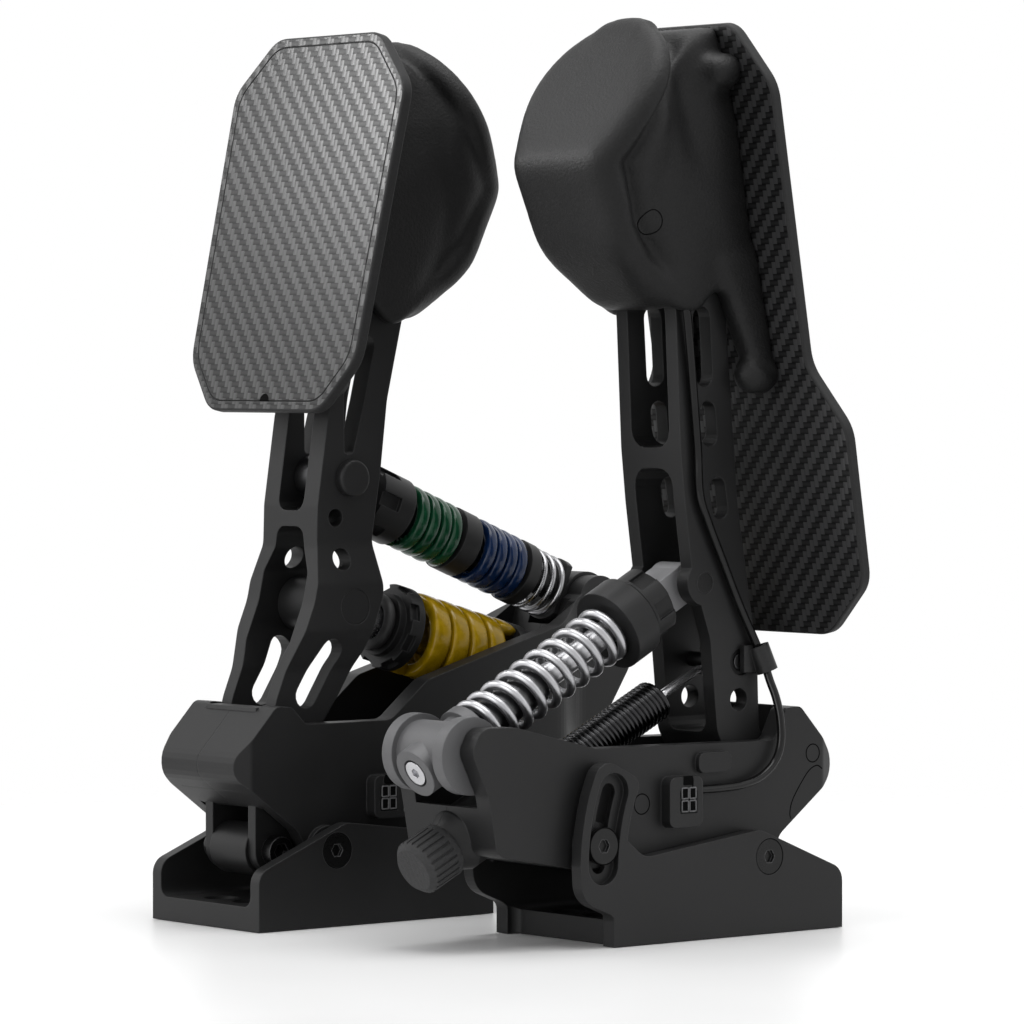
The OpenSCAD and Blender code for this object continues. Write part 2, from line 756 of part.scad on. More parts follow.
pod_ear_y = 20;
pod_ear_low = -5;
pod_ear_high = 96;
ear_d = 11;
motor_at = [pod_depth - 23.8, 80];
motor_half = 13;

// Middle of the slanted disc's face, and the ridge's distance from it down the slope
disc_at = [pod_depth - 18.7, 95.4];
disc_to_ridge = 26;
ridge_r = 4;
ridge_half = 20.5;
ridge_at = disc_at + disc_to_ridge * [cos(pod_slope), -sin(pod_slope)]
    - ridge_r * [sin(pod_slope), cos(pod_slope)];

// Slice of the slanted disc, cut off straight above the ridge
module disc_slice(radius, below, thickness) {
    translate([disc_at.x, 0, disc_at.y]) rotate([0, pod_slope, 0]) translate([0, 0, -below - thickness])
        linear_extrude(thickness) intersection() {
            circle(radius);
            translate([-2 * radius, -radius]) square([2 * radius + disc_to_ridge - ridge_r, 2 * radius]);
        }
}

// Outer shell of a pod: slanted disc with a rounded rim, ridge below it, rear face down to the arm
module pod_shell() {
    hull($fn = 48) {
        disc_slice(pod_disc_d / 2 - 2.2, 0, 0.5);
        disc_slice(pod_disc_d / 2 - 0.6, 1, 0.5);
        disc_slice(pod_disc_d / 2, 2.4, 2);
        cross_rod(ridge_at, 2 * ridge_r, -ridge_half, ridge_half);
        cross_rod([pod_depth - 12.6, 54], 16, -ridge_half, ridge_half);
        cross_rod([pod_depth - 27.3, 37], 18, -14, 14);
    }
}

// Narrower carrier between the shell and the plate
module pod_carrier() {
    front = plate_thickness + seat_gap;
    hull($fn = 48) {
        disc_slice(pod_disc_d / 2 - 4.6, 5, 2);
        cross_rod([pod_depth - 12, 70], 8, -17.5, 17.5);
        cross_rod([pod_depth - 24, 42], 14, -18.5, 18.5);
        cross_rod([pod_depth - 34.8, 29], 10, -20.2, 20.2);
        translate([front, -20, 26]) cube([12, 40, 50]);
        translate([front, -15, 84]) cube([9, 30, 26]);
    }
}

// Moulded housing on a plate's back, with two legs and four round ears
module pod_form() {
    front = plate_thickness + seat_gap;
    pod_shell();
    pod_carrier();
    for (side = [-1, 1]) hull($fn = 32) {
        translate([front, side * pod_ear_y, pod_ear_low]) rotate([0, 90, 0]) cylinder(d = 8, h = 7);
        translate([front, side * (pod_ear_y - 3), 34]) rotate([0, 90, 0]) cylinder(d = 10, h = 16);
    }
    for (side = [-1, 1], z = [pod_ear_low, pod_ear_high])
        translate([front, side * pod_ear_y, z]) rotate([0, 90, 0]) {
            cylinder(d = ear_d, h = 8);
            translate([0, 0, 8]) sphere(d = ear_d);
        }
}

// Pocket for the head of the arm, between two distances behind the plate's front
module pod(arm_from, arm_to, arm_top) {
    difference() {
        pod_form();
        translate([arm_from, -arm_half - 0.2, -40]) cube([arm_to - arm_from, arm_width + 0.4, arm_top + 40]);
        cross_rod(motor_at, motor_d + 0.4, -motor_half - 0.2, motor_half + 0.2);
        translate([-50, -60, -60]) cube([50 + plate_thickness + seat_gap, 120, 240]);
    }
}

module shaker_motor() {
    difference() {
        union() {
            cross_rod(motor_at, motor_d, -motor_half, motor_half - 4);
            cross_rod(motor_at, motor_d - 6, -motor_half, motor_half);
        }
        cross_rod(motor_at, 3, motor_half - 6, motor_half + 1);
    }
}

module brake_pod() {
    color(moulded) on_plate(brake_plate_at, brake_lean) pod(14.5, 41, 48);
}

module brake_motor() {
    color(polished) on_plate(brake_plate_at, brake_lean) shaker_motor();
}

// Pin with a low domed head on each side of an arm
module headed_pin(at, d, head_d, head_h) {
    cross_rod(at, d, -arm_half - 1, arm_half + 1);
    for (side = [-1, 1]) scale([1, side, 1]) translate([at.x, arm_half + seat_gap, at.y]) rotate([-90, 0, 0])
        rotate_extrude() polygon(concat([[0, 0], [head_d / 2, 0], [head_d / 2, head_h - 1]],
            [for (a = [30:30:90]) [head_d / 2 - 1 + cos(a), head_h - 1 + sin(a)]], [[0, head_h]]));
}

module upper_arm_pin() {
    color(black_metal) headed_pin(upper_front, arm_pin_d, 12.4, 3);
}

// Upper spring stack of the brake

guide_from = upper_collar_from - 2;
guide_end = 86;
guide_bore = 9.6;
tail_rod_d = 8;
front_eye_half = upper_slot_half - 2 * gap;

module upper_rod_end() {
    color(grey_metal) along(upper_front, upper_rear) difference() {
        union() {
            translate([0, front_eye_half, 0]) rotate([90, 0, 0]) cylinder(d = 15, h = 2 * front_eye_half);
            cylinder(d = 11, h = upper_collar_from);
            translate([0, 0, guide_from]) cylinder(d = guide_d, h = guide_end - guide_from);
        }
        translate([0, 20, 0]) rotate([90, 0, 0]) cylinder(d = arm_pin_d + 2 * fit, h = 40);
        translate([0, 0, upper_collar_to - 6]) cylinder(d = guide_bore, h = 200);
    }
}

// Ring nut with grip notches round its front edge
module notched_collar(outer_d, bore, from, to, notches, notch_width) {
    difference() {
        ring(outer_d, bore, from, to);
        for (i = [0:notches - 1]) rotate([0, 0, 360 * (i + 0.5) / notches])
            translate([outer_d / 2 - 1.6, -notch_width / 2, from - 1])
                cube([5, notch_width, (to - from) * 0.55 + 1]);
    }
}

module upper_collar() {
    color(black_metal) along(upper_front, upper_rear)
        notched_collar(upper_spring_d + 1.3, guide_d + 2 * fit, upper_collar_from, upper_collar_to, 6, 5);
}

spacer_bore = guide_d + 1.6;

module upper_spacer_front() {
    color(black_metal) along(upper_front, upper_rear)
        ring(upper_spring_d, spacer_bore, green_end, front_spacer_end);
}

module upper_spacer_rear() {
    color(black_metal) along(upper_front, upper_rear)
        ring(upper_spring_d, spacer_bore, blue_end, rear_spacer_end);
}

module green_spring() {
    color([0.2, 0.5, 0.3]) along(upper_front, upper_rear)
        coil("green_spring", upper_spring_d, 3, 3.8, 4, 1, upper_collar_to, green_end);
}

module blue_spring() {
    color([0.15, 0.25, 0.55]) along(upper_front, upper_rear)
        coil("blue_spring", upper_spring_d, 3, 3.8, 4, 1, front_spacer_end, blue_end);
}

module silver_spring() {
    color(polished) along(upper_front, upper_rear)
        coil("silver_spring", upper_spring_d - 0.6, 1.9, 1.9, 3.5, 0.75, rear_spacer_end, silver_end);
}

module upper_tail() {
    rod_from = 46;
    color(black_metal) difference() {
        union() {
            cross_rod(upper_rear, 2 * eye_radius, -eye_half, eye_half);
            along(upper_front, upper_rear) {
                translate([0, 0, rod_from]) cylinder(d = tail_rod_d, h = upper_length - rod_from);
                translate([0, 0, silver_end]) cylinder(d = 2 * eye_half - 0.4, h = upper_length - silver_end);
                translate([0, 0, silver_end]) intersection() {
                    cylinder(d = upper_spring_d, h = 2.2);
                    translate([-20, -eye_half, -1]) cube([40, 2 * eye_half, 10]);
                }
            }
        }
        cross_rod(upper_rear, tail_pin_d + 2 * fit, -20, 20);
    }
}

// Lower spring stack of the brake

module lower_barrel() {
    color(grey_metal) difference() {
        union() {
            cross_rod(lower_front, barrel_d, -barrel_slot_half + gap, barrel_slot_half - gap);
            cross_rod(lower_front, barrel_journal_d, -bulge_half + 0.1, bulge_half - 0.1);
        }
        along(lower_front, lower_rear) cylinder(d = lower_rod_d - 2 + 2 * seat_gap, h = 40);
    }
}

module lower_rod() {
    shoulder = barrel_d / 2 + 0.5;
    color(polished) along(lower_front, lower_rear) {
        cylinder(d = lower_rod_d - 2, h = shoulder + 1);
        translate([0, 0, shoulder]) cylinder(d = lower_rod_d, h = lower_rod_end - shoulder);
    }
}

module lower_buffer() {
    color(rubber) along(lower_front, lower_rear) translate([0, 0, lower_collar_from - 3.2]) rotate_extrude()
        translate([lower_rod_d / 2 + 2 + seat_gap, 0]) circle(d = 4);
}

module lower_collar() {
    bore = lower_rod_d + 2 * fit;
    color(black_metal) along(lower_front, lower_rear) {
        notched_collar(lower_spring_d + 0.5, bore, lower_collar_from + 1.8, lower_collar_to, 8, 6);
        ring(lower_rod_d + 10, bore, lower_collar_from - 1, lower_collar_from + 2);
    }
}

// Throttle body

knob_from = 128;
knob_to = 141.5;
helper_coil_from = 26;
helper_coil_to = 108;
boss_to = knob_from - 0.4;
spindle_d = 5;
boss_from = 110;
boss_taper_from = 122;
trunnion_half = channel_half - gap;
trunnion_pin_d = 8;
trunnion_pin_to = throttle_tail_width / 2 - 1.5;

module throttle_body() {
    difference() {
        union() {
            difference() {
                union() {
                    body_shell(throttle_outline, throttle_plan);
                    side_pad(throttle_socket - throttle_pad_lead, throttle_socket + throttle_pad_reach,
                        pad_height, 1);
                    side_pad([-5, 53.8], [9.3, 60.6], 2, 1);
                }
                body_cuts(throttle_socket, 1);
                slab([[-35, 100], [-35, arm_pivot_z], [-arm_pivot_x, arm_pivot_z - hub_clear], [-16, 33],
                    [56, 31], [66, 33], [90, 46], [125, 48], [125, 100]], -channel_half, channel_half);
            }
            along(helper_front, helper_rear) {
                translate([0, 0, boss_from]) cylinder(d = knob_d + 2.4, h = boss_taper_from - boss_from);
                translate([0, 0, boss_taper_from])
                    cylinder(d1 = knob_d + 2.4, d2 = knob_d - 3, h = boss_to - boss_taper_from);
            }
        }
        along(helper_front, helper_rear) {
            translate([0, 0, 85]) cylinder(d = helper_spring_d + 2, h = helper_coil_to + 5 - 85);
            cylinder(d = spindle_d + 2 * fit, h = 200);
        }
        side_rods(damper_rear, trunnion_pin_d + 2 * seat_gap, channel_half - 1, trunnion_pin_to + seat_gap);
    }
}

module throttle_body_left() {
    color(black_metal) on_throttle() half_of(-1) throttle_body();
}

module throttle_body_right() {
    color(black_metal) on_throttle() half_of(1) throttle_body();
}

module throttle_bearings() {
    color(polished) on_throttle() bearing_pair();
}

module throttle_connector() {
    color(moulded) on_throttle() connector(throttle_socket);
}

module trunnion_pins() {
    color(grey_metal) on_throttle()
        side_rods(damper_rear, trunnion_pin_d, trunnion_half - 3.5, trunnion_pin_to);
}

// Throttle arm

throttle_arm_outline = rounded([
    [arm_pivot.x, arm_pivot.y + hub_radius, 0], [-26, 64.5, 4], [-25.2, 90, 20], [-16.2, 142, 60],
    [-10.8, 205, 40], [-6.3, 230, 5], [14.3, 228, 5], [10.8, 204, 60], [8.7, 160, 60], [6.8, 142, 30],
    [3.5, 119, 12], [-4.5, 97, 20],
    [-7.6, 66, 10], [-18, 47, 4], [arm_pivot.x + 2, arm_pivot.y - hub_radius, 0],
    [arm_pivot.x, arm_pivot.y, 0]
]);
lug_radius = 7.5;
throttle_web_from = 153.3;
throttle_web_to = 160.2;
damper_pin_d = 7;
hook_pin_d = 5;

module throttle_arm() {
    color(black_metal) on_throttle() difference() {
        union() {
            slab(throttle_arm_outline, -arm_half, arm_half);
            cross_rod(damper_front, 2 * lug_radius, -arm_half, arm_half);
            cross_rod(arm_pivot, 2 * hub_radius, -arm_half, arm_half);
        }
        front_shape([[rail_inner, slot_foot, 4], [rail_inner, throttle_web_from, 6]]);
        front_shape([[rail_inner, throttle_web_to, 6], [rail_inner, 211, 6]]);
        long_hole([-1.5, 184], [-0.3, 203], 7.5);
        long_hole([-3.8, 164], [-3, 172], 7);
        long_hole([-8.6, 140], [-7.4, 147], 7);
        cross_rod([-17, 76.5], 7.5, -20, 20);
        side_rods(helper_front, hook_pin_d + 4, arm_half - 1.2, arm_half + 1);
        cross_rod(damper_front, damper_pin_d + 2 * seat_gap, -20, 20);
        cross_rod(helper_front, hook_pin_d + 2 * seat_gap, -20, 20);
        cross_rod(arm_pivot, shaft_d + 2 * seat_gap, -20, 20);
    }
}

module throttle_shaft() {
    on_throttle() shaft();
}

throttle_plate_outline = rounded(both_sides([
    [throttle_foot_width / 2 - 20, 111 - throttle_plate_height, 8],
    [throttle_foot_width / 2 - 0.8, 128.5 - throttle_plate_height, 10],
    [throttle_foot_width / 2, -24, 10], [throttle_plate_width / 2, -3, 14],
    [throttle_plate_width / 2, 90, 10], [throttle_plate_width / 2 - 16, 111, 10]
]));

module throttle_plate() {
    color(carbon) on_throttle() on_plate(throttle_plate_at, throttle_lean) plate(throttle_plate_outline);
}

module throttle_pod() {
    color(moulded) on_throttle() difference() {
        on_plate(throttle_plate_at, throttle_lean) pod(14.9, 37.4, 47);
        tube(tube_rings(concat([cable_path[0] + [0.1, 0, 2]], [for (i = [0:8]) cable_path[i]]),
            round_section(cable_d + 2 * gap, 8)));
    }
}

module throttle_motor() {
    color(polished) on_throttle() on_plate(throttle_plate_at, throttle_lean) shaker_motor();
}

module damper_pin() {
    color(grey_metal) on_throttle() cross_rod(damper_front, damper_pin_d, -arm_half + 0.1, arm_half - 0.1);
}

module hook_pin() {
    color(grey_metal) on_throttle() cross_rod(helper_front, hook_pin_d, -arm_half + 0.5, arm_half - 0.5);
}

// Damper of the throttle, on the line from the arm to the trunnion

tongue_half = 6.2;
damper_collar_from = 11;
damper_collar_step = 22;
damper_collar_to = 33;
damper_seat_at = 98.8;
cylinder_from = 68;
rod_to = 74;

module damper_fork() {
    color(polished) on_throttle() along(damper_front, damper_rear) difference() {
        union() {
            translate([0, tongue_half, 0]) rotate([90, 0, 0]) cylinder(d = 13, h = 2 * tongue_half);
            translate([-tongue_half, -tongue_half, 0])
                cube([2 * tongue_half, 2 * tongue_half, damper_collar_from - seat_gap]);
        }
        translate([0, 20, 0]) rotate([90, 0, 0]) cylinder(d = damper_pin_d + 2 * fit, h = 40);
        translate([0, 0, 6]) cylinder(d = damper_rod_d + 2 * seat_gap, h = 20);
    }
}

module damper_rod() {
    color(polished) on_throttle() along(damper_front, damper_rear)
        translate([0, 0, 6 + seat_gap]) cylinder(d = damper_rod_d, h = rod_to - 6);
}

module damper_collar() {
    bore_r = damper_rod_d / 2 + fit;
    grip_r = damper_spring_d / 2 + 2;
    flange_r = damper_spring_d / 2 + 4;
    color(black_metal) on_throttle() along(damper_front, damper_rear) difference() {
        rotate_extrude() polygon([
            [bore_r, damper_collar_from], [grip_r - 3.5, damper_collar_from], [grip_r, damper_collar_from + 2],
            [grip_r, damper_collar_step], [flange_r - 1, damper_collar_step],
            [flange_r, damper_collar_step + 1], [flange_r, damper_collar_to], [bore_r, damper_collar_to]
        ]);
        for (i = [0:5]) rotate([0, 0, 60 * i + 30]) translate([grip_r - 1.8, -3, damper_collar_from - 1])
            cube([6, 6, damper_collar_step - damper_collar_from - 1]);
    }
}

module damper_spring() {
    color(polished) on_throttle() along(damper_front, damper_rear)
        coil("damper_spring", damper_spring_d, 3.1, 3.1, 10, 0.8, damper_collar_to, damper_seat_at);
}

module damper_cylinder() {
    color(polished) on_throttle() along(damper_front, damper_rear)
        ring(damper_cylinder_d, damper_rod_d + 2, cylinder_from, damper_length - 1);
}

block_end = damper_length + 12.5;
trunnion_d = 21;
flange_from = damper_spring_d / 2 + 0.4;
screw_sink = 3;
screw_d = 6;

module trunnion_block() {
    color(grey_metal) on_throttle() difference() {
        union() {
            cross_rod(damper_rear, trunnion_d, -flange_from - 1, flange_from + 1);
            side_rods(damper_rear, trunnion_d + 4, flange_from, trunnion_half);
            along(damper_front, damper_rear) {
                translate([0, 0, damper_seat_at]) cylinder(d = damper_spring_d, h = 4);
                translate([0, 0, damper_seat_at + 2])
                    cylinder(d = damper_cylinder_d + 4.2, h = block_end - damper_seat_at - 2);
            }
        }
        side_rods(damper_rear, trunnion_pin_d + 2 * fit, trunnion_half - 4, 40);
        along(damper_front, damper_rear) {
            cylinder(d = damper_cylinder_d + 2 * seat_gap, h = damper_length - 1 + seat_gap);
            translate([0, 0, damper_length + 1]) cylinder(d = screw_d + 2 * seat_gap, h = 20);
            translate([0, 0, block_end - screw_sink]) cylinder(d = screw_d + 3.8, h = 20);
        }
    }
}

module trunnion_screw() {
    color(polished) on_throttle() along(damper_front, damper_rear) difference() {
        union() {
            translate([0, 0, damper_length + 2]) cylinder(d = screw_d, h = block_end - damper_length - 4);
            translate([0, 0, block_end - screw_sink + seat_gap]) cylinder(d = screw_d + 2.4, h = screw_sink);
        }
        translate([0, 0, block_end - 1.6]) cylinder(d = screw_d / 2 / cos(30), h = 6, $fn = 6);
    }
}

// Helper spring, hooked on the arm and drawn tight by the knob

helper_wire = 1.5;
helper_turns = 40;

// Hook round the arm's pin, straight shank, coil and straight end, as one wire
function helper_path() =
    let (r = helper_spring_d / 2 - helper_wire / 2, hook = hook_pin_d / 2 + helper_wire / 2 + 0.4)
    let (steps = helper_turns * steps_per_turn, rise = helper_coil_to - helper_coil_from)
    concat(
        [for (a = [-200:25:60]) [hook * cos(a), 0, hook * sin(a)]],
        [[hook * 0.2, 0, hook + 2.5], [0, 0, hook + 6], [0, 0, (hook + helper_coil_from) / 2]],
        [[0, 0, helper_coil_from - 5], [r * 0.2, 0, helper_coil_from - 2.6]],
        [[r * 0.75, 0, helper_coil_from - 1]],
        [for (i = [0:steps]) let (a = 360 * i / steps_per_turn)
            [r * cos(a), r * sin(a), helper_coil_from + rise * i / steps]],
        [[r * 0.75, r * 0.3, helper_coil_to + 1], [0, 0, helper_coil_to + 3.2], [0, 0, helper_coil_to + 5.5]]
    );

module helper_spring() {
    path = helper_path();
    turns = [for (p = path) if (p.z >= helper_coil_from && p.z <= helper_coil_to) p];
    echo(str("helper_spring least gap ", least_gap(turns, helper_wire)));
    color(black_metal) on_throttle() along(helper_front, helper_rear)
        tube(tube_rings(path, round_section(helper_wire, 6)));
}

module preload_knob() {
    grooves = 24;
    color(grey_metal) on_throttle() along(helper_front, helper_rear) {
        difference() {
            union() {
                translate([0, 0, knob_from]) cylinder(d = knob_d, h = knob_to - knob_from - 2);
                translate([0, 0, knob_to - 2]) cylinder(d1 = knob_d, d2 = knob_d - 4, h = 2);
            }
            for (i = [0:grooves - 1]) rotate([0, 0, 360 * i / grooves])
                translate([knob_d / 2 - 0.4, -0.4, knob_from + 2]) cube([2, 0.8, 30]);
        }
        translate([0, 0, helper_coil_to + 5.6]) cylinder(d = spindle_d, h = knob_from - helper_coil_to - 5.5);
    }
}

// Cable of the throttle's shaker: down the arm to the clip, then in a loop to the body's connector pad

cable_route = [
    [10, 17.7, 222], [9.5, 17.7, 212], [7.5, 17.4, 200], [5, 17, 180], [3, 17, 160], [2, 17, 145],
    [-2, 17, 135], [-8, 17, 123], [-15, 17, 109], [-22, 17.4, 96], [-25, 18, 90], [-26.2, 20, 83],
    [-26.6, 22.8, 77], [-26.6, 25, 70], [-26, 25.8, 62], [-23, 26, 56], [-17, 26, 51.6],
    [-9, 25.9, 49.4], [0, 25.7, 48.7], [throttle_socket.x - throttle_pad_lead.x - gap, 25.4, 48.6]
];
last_point = len(cable_route) - 1;
clip_point = 10;
cable_steps = 3;

// Smooth curve through the route's points
function curve_point(p, i, t) =
    let (last = len(p) - 1, a = p[max(0, i - 1)], b = p[i], c = p[i + 1], d = p[min(last, i + 2)])
    0.5 * (2 * b + (c - a) * t + (2 * a - 5 * b + 4 * c - d) * t * t + (3 * b - a - 3 * c + d) * t * t * t);

cable_path = concat(
    [for (i = [0:last_point - 1], k = [0:cable_steps - 1]) curve_point(cable_route, i, k / cable_steps)],
    [cable_route[last_point]]
);
cable_rings = tube_rings(cable_path, round_section(cable_d, 8));

module haptic_cable() {
    color(rubber) on_throttle() tube([for (i = [0:clip_point * cable_steps]) cable_rings[i]]);
}

module haptic_cable_loop() {
    color(rubber) on_throttle()
        tube([for (i = [clip_point * cable_steps:last_point * cable_steps]) cable_rings[i]]);
}

module cable_clip() {
    from = cable_route[clip_point - 1];
    to = cable_route[clip_point + 1];
    middle = cable_route[clip_point];
    way = unit(to - from);
    turn = [0, acos(way.z), atan2(way.y, way.x)];
    color(moulded) on_throttle() difference() {
        intersection() {
            union() {
                translate(middle) rotate(turn) translate([0, 0, -4.5]) cylinder(d = cable_d + 4.4, h = 9);
                translate([middle.x - 1.5, arm_half, middle.z - 4.5]) cube([9, 2.2, 9]);
            }
            translate([middle.x - 20, arm_half + seat_gap, middle.z - 20]) cube([40, 20, 40]);
        }
        translate(middle) rotate(turn) translate([0, 0, -10]) cylinder(d = cable_d + 1.6, h = 20);
    }
}

brake_base();
throttle_base();
tilt_bolts();
brake_body_left();
brake_body_right();
brake_bearings();
brake_rest_stop();
brake_spacer();
brake_spacer_bolt();
brake_slot_bolts();
brake_connector();
brake_load_cell();
lower_seat();
yellow_spring();
upper_tail_pin();
brake_arm();
brake_shaft();
brake_plate();
brake_pod();
brake_motor();
upper_arm_pin();
upper_rod_end();
upper_collar();
upper_spacer_front();
green_spring();
upper_spacer_rear();
blue_spring();
upper_tail();
silver_spring();
lower_rod();
lower_barrel();
lower_buffer();
lower_collar();
throttle_body_left();
throttle_body_right();
throttle_bearings();
throttle_slot_bolts();
throttle_connector();
trunnion_pins();
haptic_cable_loop();
throttle_arm();
throttle_shaft();
throttle_plate();
throttle_pod();
throttle_motor();
damper_pin();
hook_pin();
cable_clip();
haptic_cable();
trunnion_block();
trunnion_screw();
damper_cylinder();
damper_spring();
damper_fork();
damper_rod();
damper_collar();
helper_spring();
preload_knob();
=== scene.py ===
"""Looks of the pedal set: camera, cable, wound springs, rounded pods, marks, materials and light."""

import math

import bmesh
import bpy
from mathutils import Matrix, Vector
from mathutils.bvhtree import BVHTree


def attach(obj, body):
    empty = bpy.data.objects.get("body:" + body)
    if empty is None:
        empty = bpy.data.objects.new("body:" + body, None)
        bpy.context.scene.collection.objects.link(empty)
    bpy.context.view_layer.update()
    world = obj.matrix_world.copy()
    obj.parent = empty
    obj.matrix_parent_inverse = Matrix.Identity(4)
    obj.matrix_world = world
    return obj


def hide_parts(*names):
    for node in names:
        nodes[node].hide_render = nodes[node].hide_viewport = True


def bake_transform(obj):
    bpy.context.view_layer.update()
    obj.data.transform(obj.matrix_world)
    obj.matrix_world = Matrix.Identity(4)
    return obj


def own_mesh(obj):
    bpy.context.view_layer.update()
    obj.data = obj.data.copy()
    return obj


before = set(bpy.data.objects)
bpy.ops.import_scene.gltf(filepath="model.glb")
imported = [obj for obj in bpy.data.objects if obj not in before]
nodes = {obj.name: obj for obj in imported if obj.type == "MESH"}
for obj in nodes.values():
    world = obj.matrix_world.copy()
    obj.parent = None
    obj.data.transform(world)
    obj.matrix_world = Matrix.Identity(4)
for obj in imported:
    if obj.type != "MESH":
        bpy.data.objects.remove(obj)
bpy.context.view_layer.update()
scene = bpy.context.scene

MM = 0.001

# Place of the throttle's own frame, which is turned half round beside the brake's
THROTTLE_AT = Vector((0.062, -0.108, 0.0))


def brake_point(x, y, z):
    """Point of the brake's own frame, in millimetres, in the row frame."""
    return Vector((x, y, z)) * MM


def throttle_point(x, y, z):
    """Point of the throttle's own frame, in millimetres, in the row frame."""
    return THROTTLE_AT + Vector((-x, -y, z)) * MM


def pedal_frame(at, turn, turned):
    """Matrix from a frame in a pedal's middle plane, in millimetres, to the row frame, in metres."""
    matrix = Matrix.Translation((at[0], 0, at[1])) @ Matrix.Rotation(turn, 4, "Y")
    if turned:
        matrix = Matrix.Translation(THROTTLE_AT / MM) @ Matrix.Rotation(math.pi, 4, "Z") @ matrix
    return Matrix.Scale(MM, 4) @ matrix


def link_frame(front, rear, turned):
    """Frame of a link, with Z from its front pivot to its rear one."""
    return pedal_frame(front, math.atan2(rear[0] - front[0], rear[1] - front[1]), turned)


# Frames of the brake's two spring stacks, and of the throttle's damper and helper spring
UPPER = link_frame((0, 149.2), (111, 104.2), False)
LOWER = link_frame((-1, 106), (79, 82.9), False)
DAMPER = link_frame((-2, 115.6), (97, 63), True)
HELPER = link_frame((-18, 89), (97, 32), True)

# Frames of the plates, with X through the plate from its front face and Z up it
BRAKE_PLATE = pedal_frame((-22.1, 189.6), math.radians(12.4), False)
THROTTLE_PLATE = pedal_frame((-28.9, 190.7), math.radians(9.5), True)

# Camera at the photograph's viewing angle

VIEW_AZIMUTH = math.radians(39.5)
VIEW_DIP = math.radians(1.589)
CAMERA_AT = (-1.0952, -1.4292, 0.1874)
SENSOR_WIDTH = 36.0
FOCAL_LENGTH = 186.3
CLIP_RANGE = (0.05, 50.0)


def add_camera():
    data = bpy.data.cameras.new("camera")
    data.sensor_width = SENSOR_WIDTH
    data.lens = FOCAL_LENGTH
    data.clip_start, data.clip_end = CLIP_RANGE
    camera = bpy.data.objects.new("camera", data)
    scene.collection.objects.link(camera)
    level = math.cos(VIEW_DIP)
    look = Vector((math.sin(VIEW_AZIMUTH) * level, math.cos(VIEW_AZIMUTH) * level, -math.sin(VIEW_DIP)))
    camera.location = CAMERA_AT
    camera.rotation_mode = "QUATERNION"
    camera.rotation_quaternion = look.to_track_quat("-Z", "Y")
    scene.camera = camera


# Mesh helpers

# Sides of round wires and of the thin lines
ROUND_SIDES = 20
LINE_SIDES = 8

# Direction that no swept path runs along, so that each ring has a clear second axis
ASKEW = Vector((0.13, 1.0, 0.11))


def add_mesh(name, vertices, faces, body=None, slot=None, sharp=None):
    """Smooth mesh piece, which rides on a body where one is given. The slot is not used."""
    mesh = bpy.data.meshes.new(name)
    mesh.from_pydata(vertices, [], faces)
    builder = bmesh.new()
    builder.from_mesh(mesh)
    bmesh.ops.recalc_face_normals(builder, faces=builder.faces)
    builder.to_mesh(mesh)
    builder.free()
    for polygon in mesh.polygons:
        polygon.use_smooth = True
    if sharp:
        mesh.set_sharp_from_angle(angle=sharp)
    piece = bpy.data.objects.new(name, mesh)
    scene.collection.objects.link(piece)
    if body:
        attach(piece, body)
    return piece


def band_faces(first, rings, sides):
    """Quads between rings of points that follow each other in a list of points."""
    return [
        (a + k, a + (k + 1) % sides, a + sides + (k + 1) % sides, a + sides + k)
        for a in range(first, first + (rings - 1) * sides, sides)
        for k in range(sides)
    ]


def tube_faces(rings, sides):
    """Quads between rings of points, with a cap on each end."""
    caps = [tuple(reversed(range(sides))), tuple(range((rings - 1) * sides, rings * sides))]
    return band_faces(0, rings, sides) + caps


def tangents(path):
    last = len(path) - 1
    return [(path[min(last, i + 1)] - path[max(0, i - 1)]).normalized() for i in range(last + 1)]


def sweep_points(path, section, upright):
    """Rings along a path. upright gives the direction that each ring's second axis leans to."""
    points = []
    for place, way in zip(path, tangents(path)):
        side = way.cross(upright).normalized()
        up = side.cross(way)
        points.extend(place + side * u + up * v for u, v in section)
    return points


def tube(path, section, upright):
    """Points and faces of a capped tube along a path."""
    return sweep_points(path, section, upright), tube_faces(len(path), len(section))


def turned_points(profile, sides):
    """Rings of a turned form about Z, from radius and height pairs."""
    turn = 2 * math.pi / sides
    return [
        Vector((radius * math.cos(k * turn), radius * math.sin(k * turn), height))
        for radius, height in profile
        for k in range(sides)
    ]


def round_section(diameter, sides):
    turn = 2 * math.pi / sides
    return [(diameter / 2 * math.cos(k * turn), diameter / 2 * math.sin(k * turn)) for k in range(sides)]


def flat_section(across, along, power, sides=24):
    """Rounded oblong section of a flat wire. A lower power gives squarer corners."""
    points = []
    for k in range(sides):
        turn = 2 * math.pi * k / sides
        u, v = (math.copysign(abs(w) ** power, w) for w in (math.cos(turn), math.sin(turn)))
        points.append((across / 2 * u, along / 2 * v))
    return points


def smooth_curve(points, steps):
    """Smooth curve through points, with the same ends."""
    last = len(points) - 1
    out = []
    for i in range(last):
        a, b, c, d = points[max(0, i - 1)], points[i], points[i + 1], points[min(last, i + 2)]
        for k in range(steps):
            t = k / steps
            out.append(
                0.5
                * (2 * b + (c - a) * t + (2 * a - 5 * b + 4 * c - d) * t**2 + (3 * b - a - 3 * c + d) * t**3)
            )
    out.append(points[last])
    return out


# Cable of the throttle's shaker, on the same route as its solids

CABLE_D = 2.8 * MM

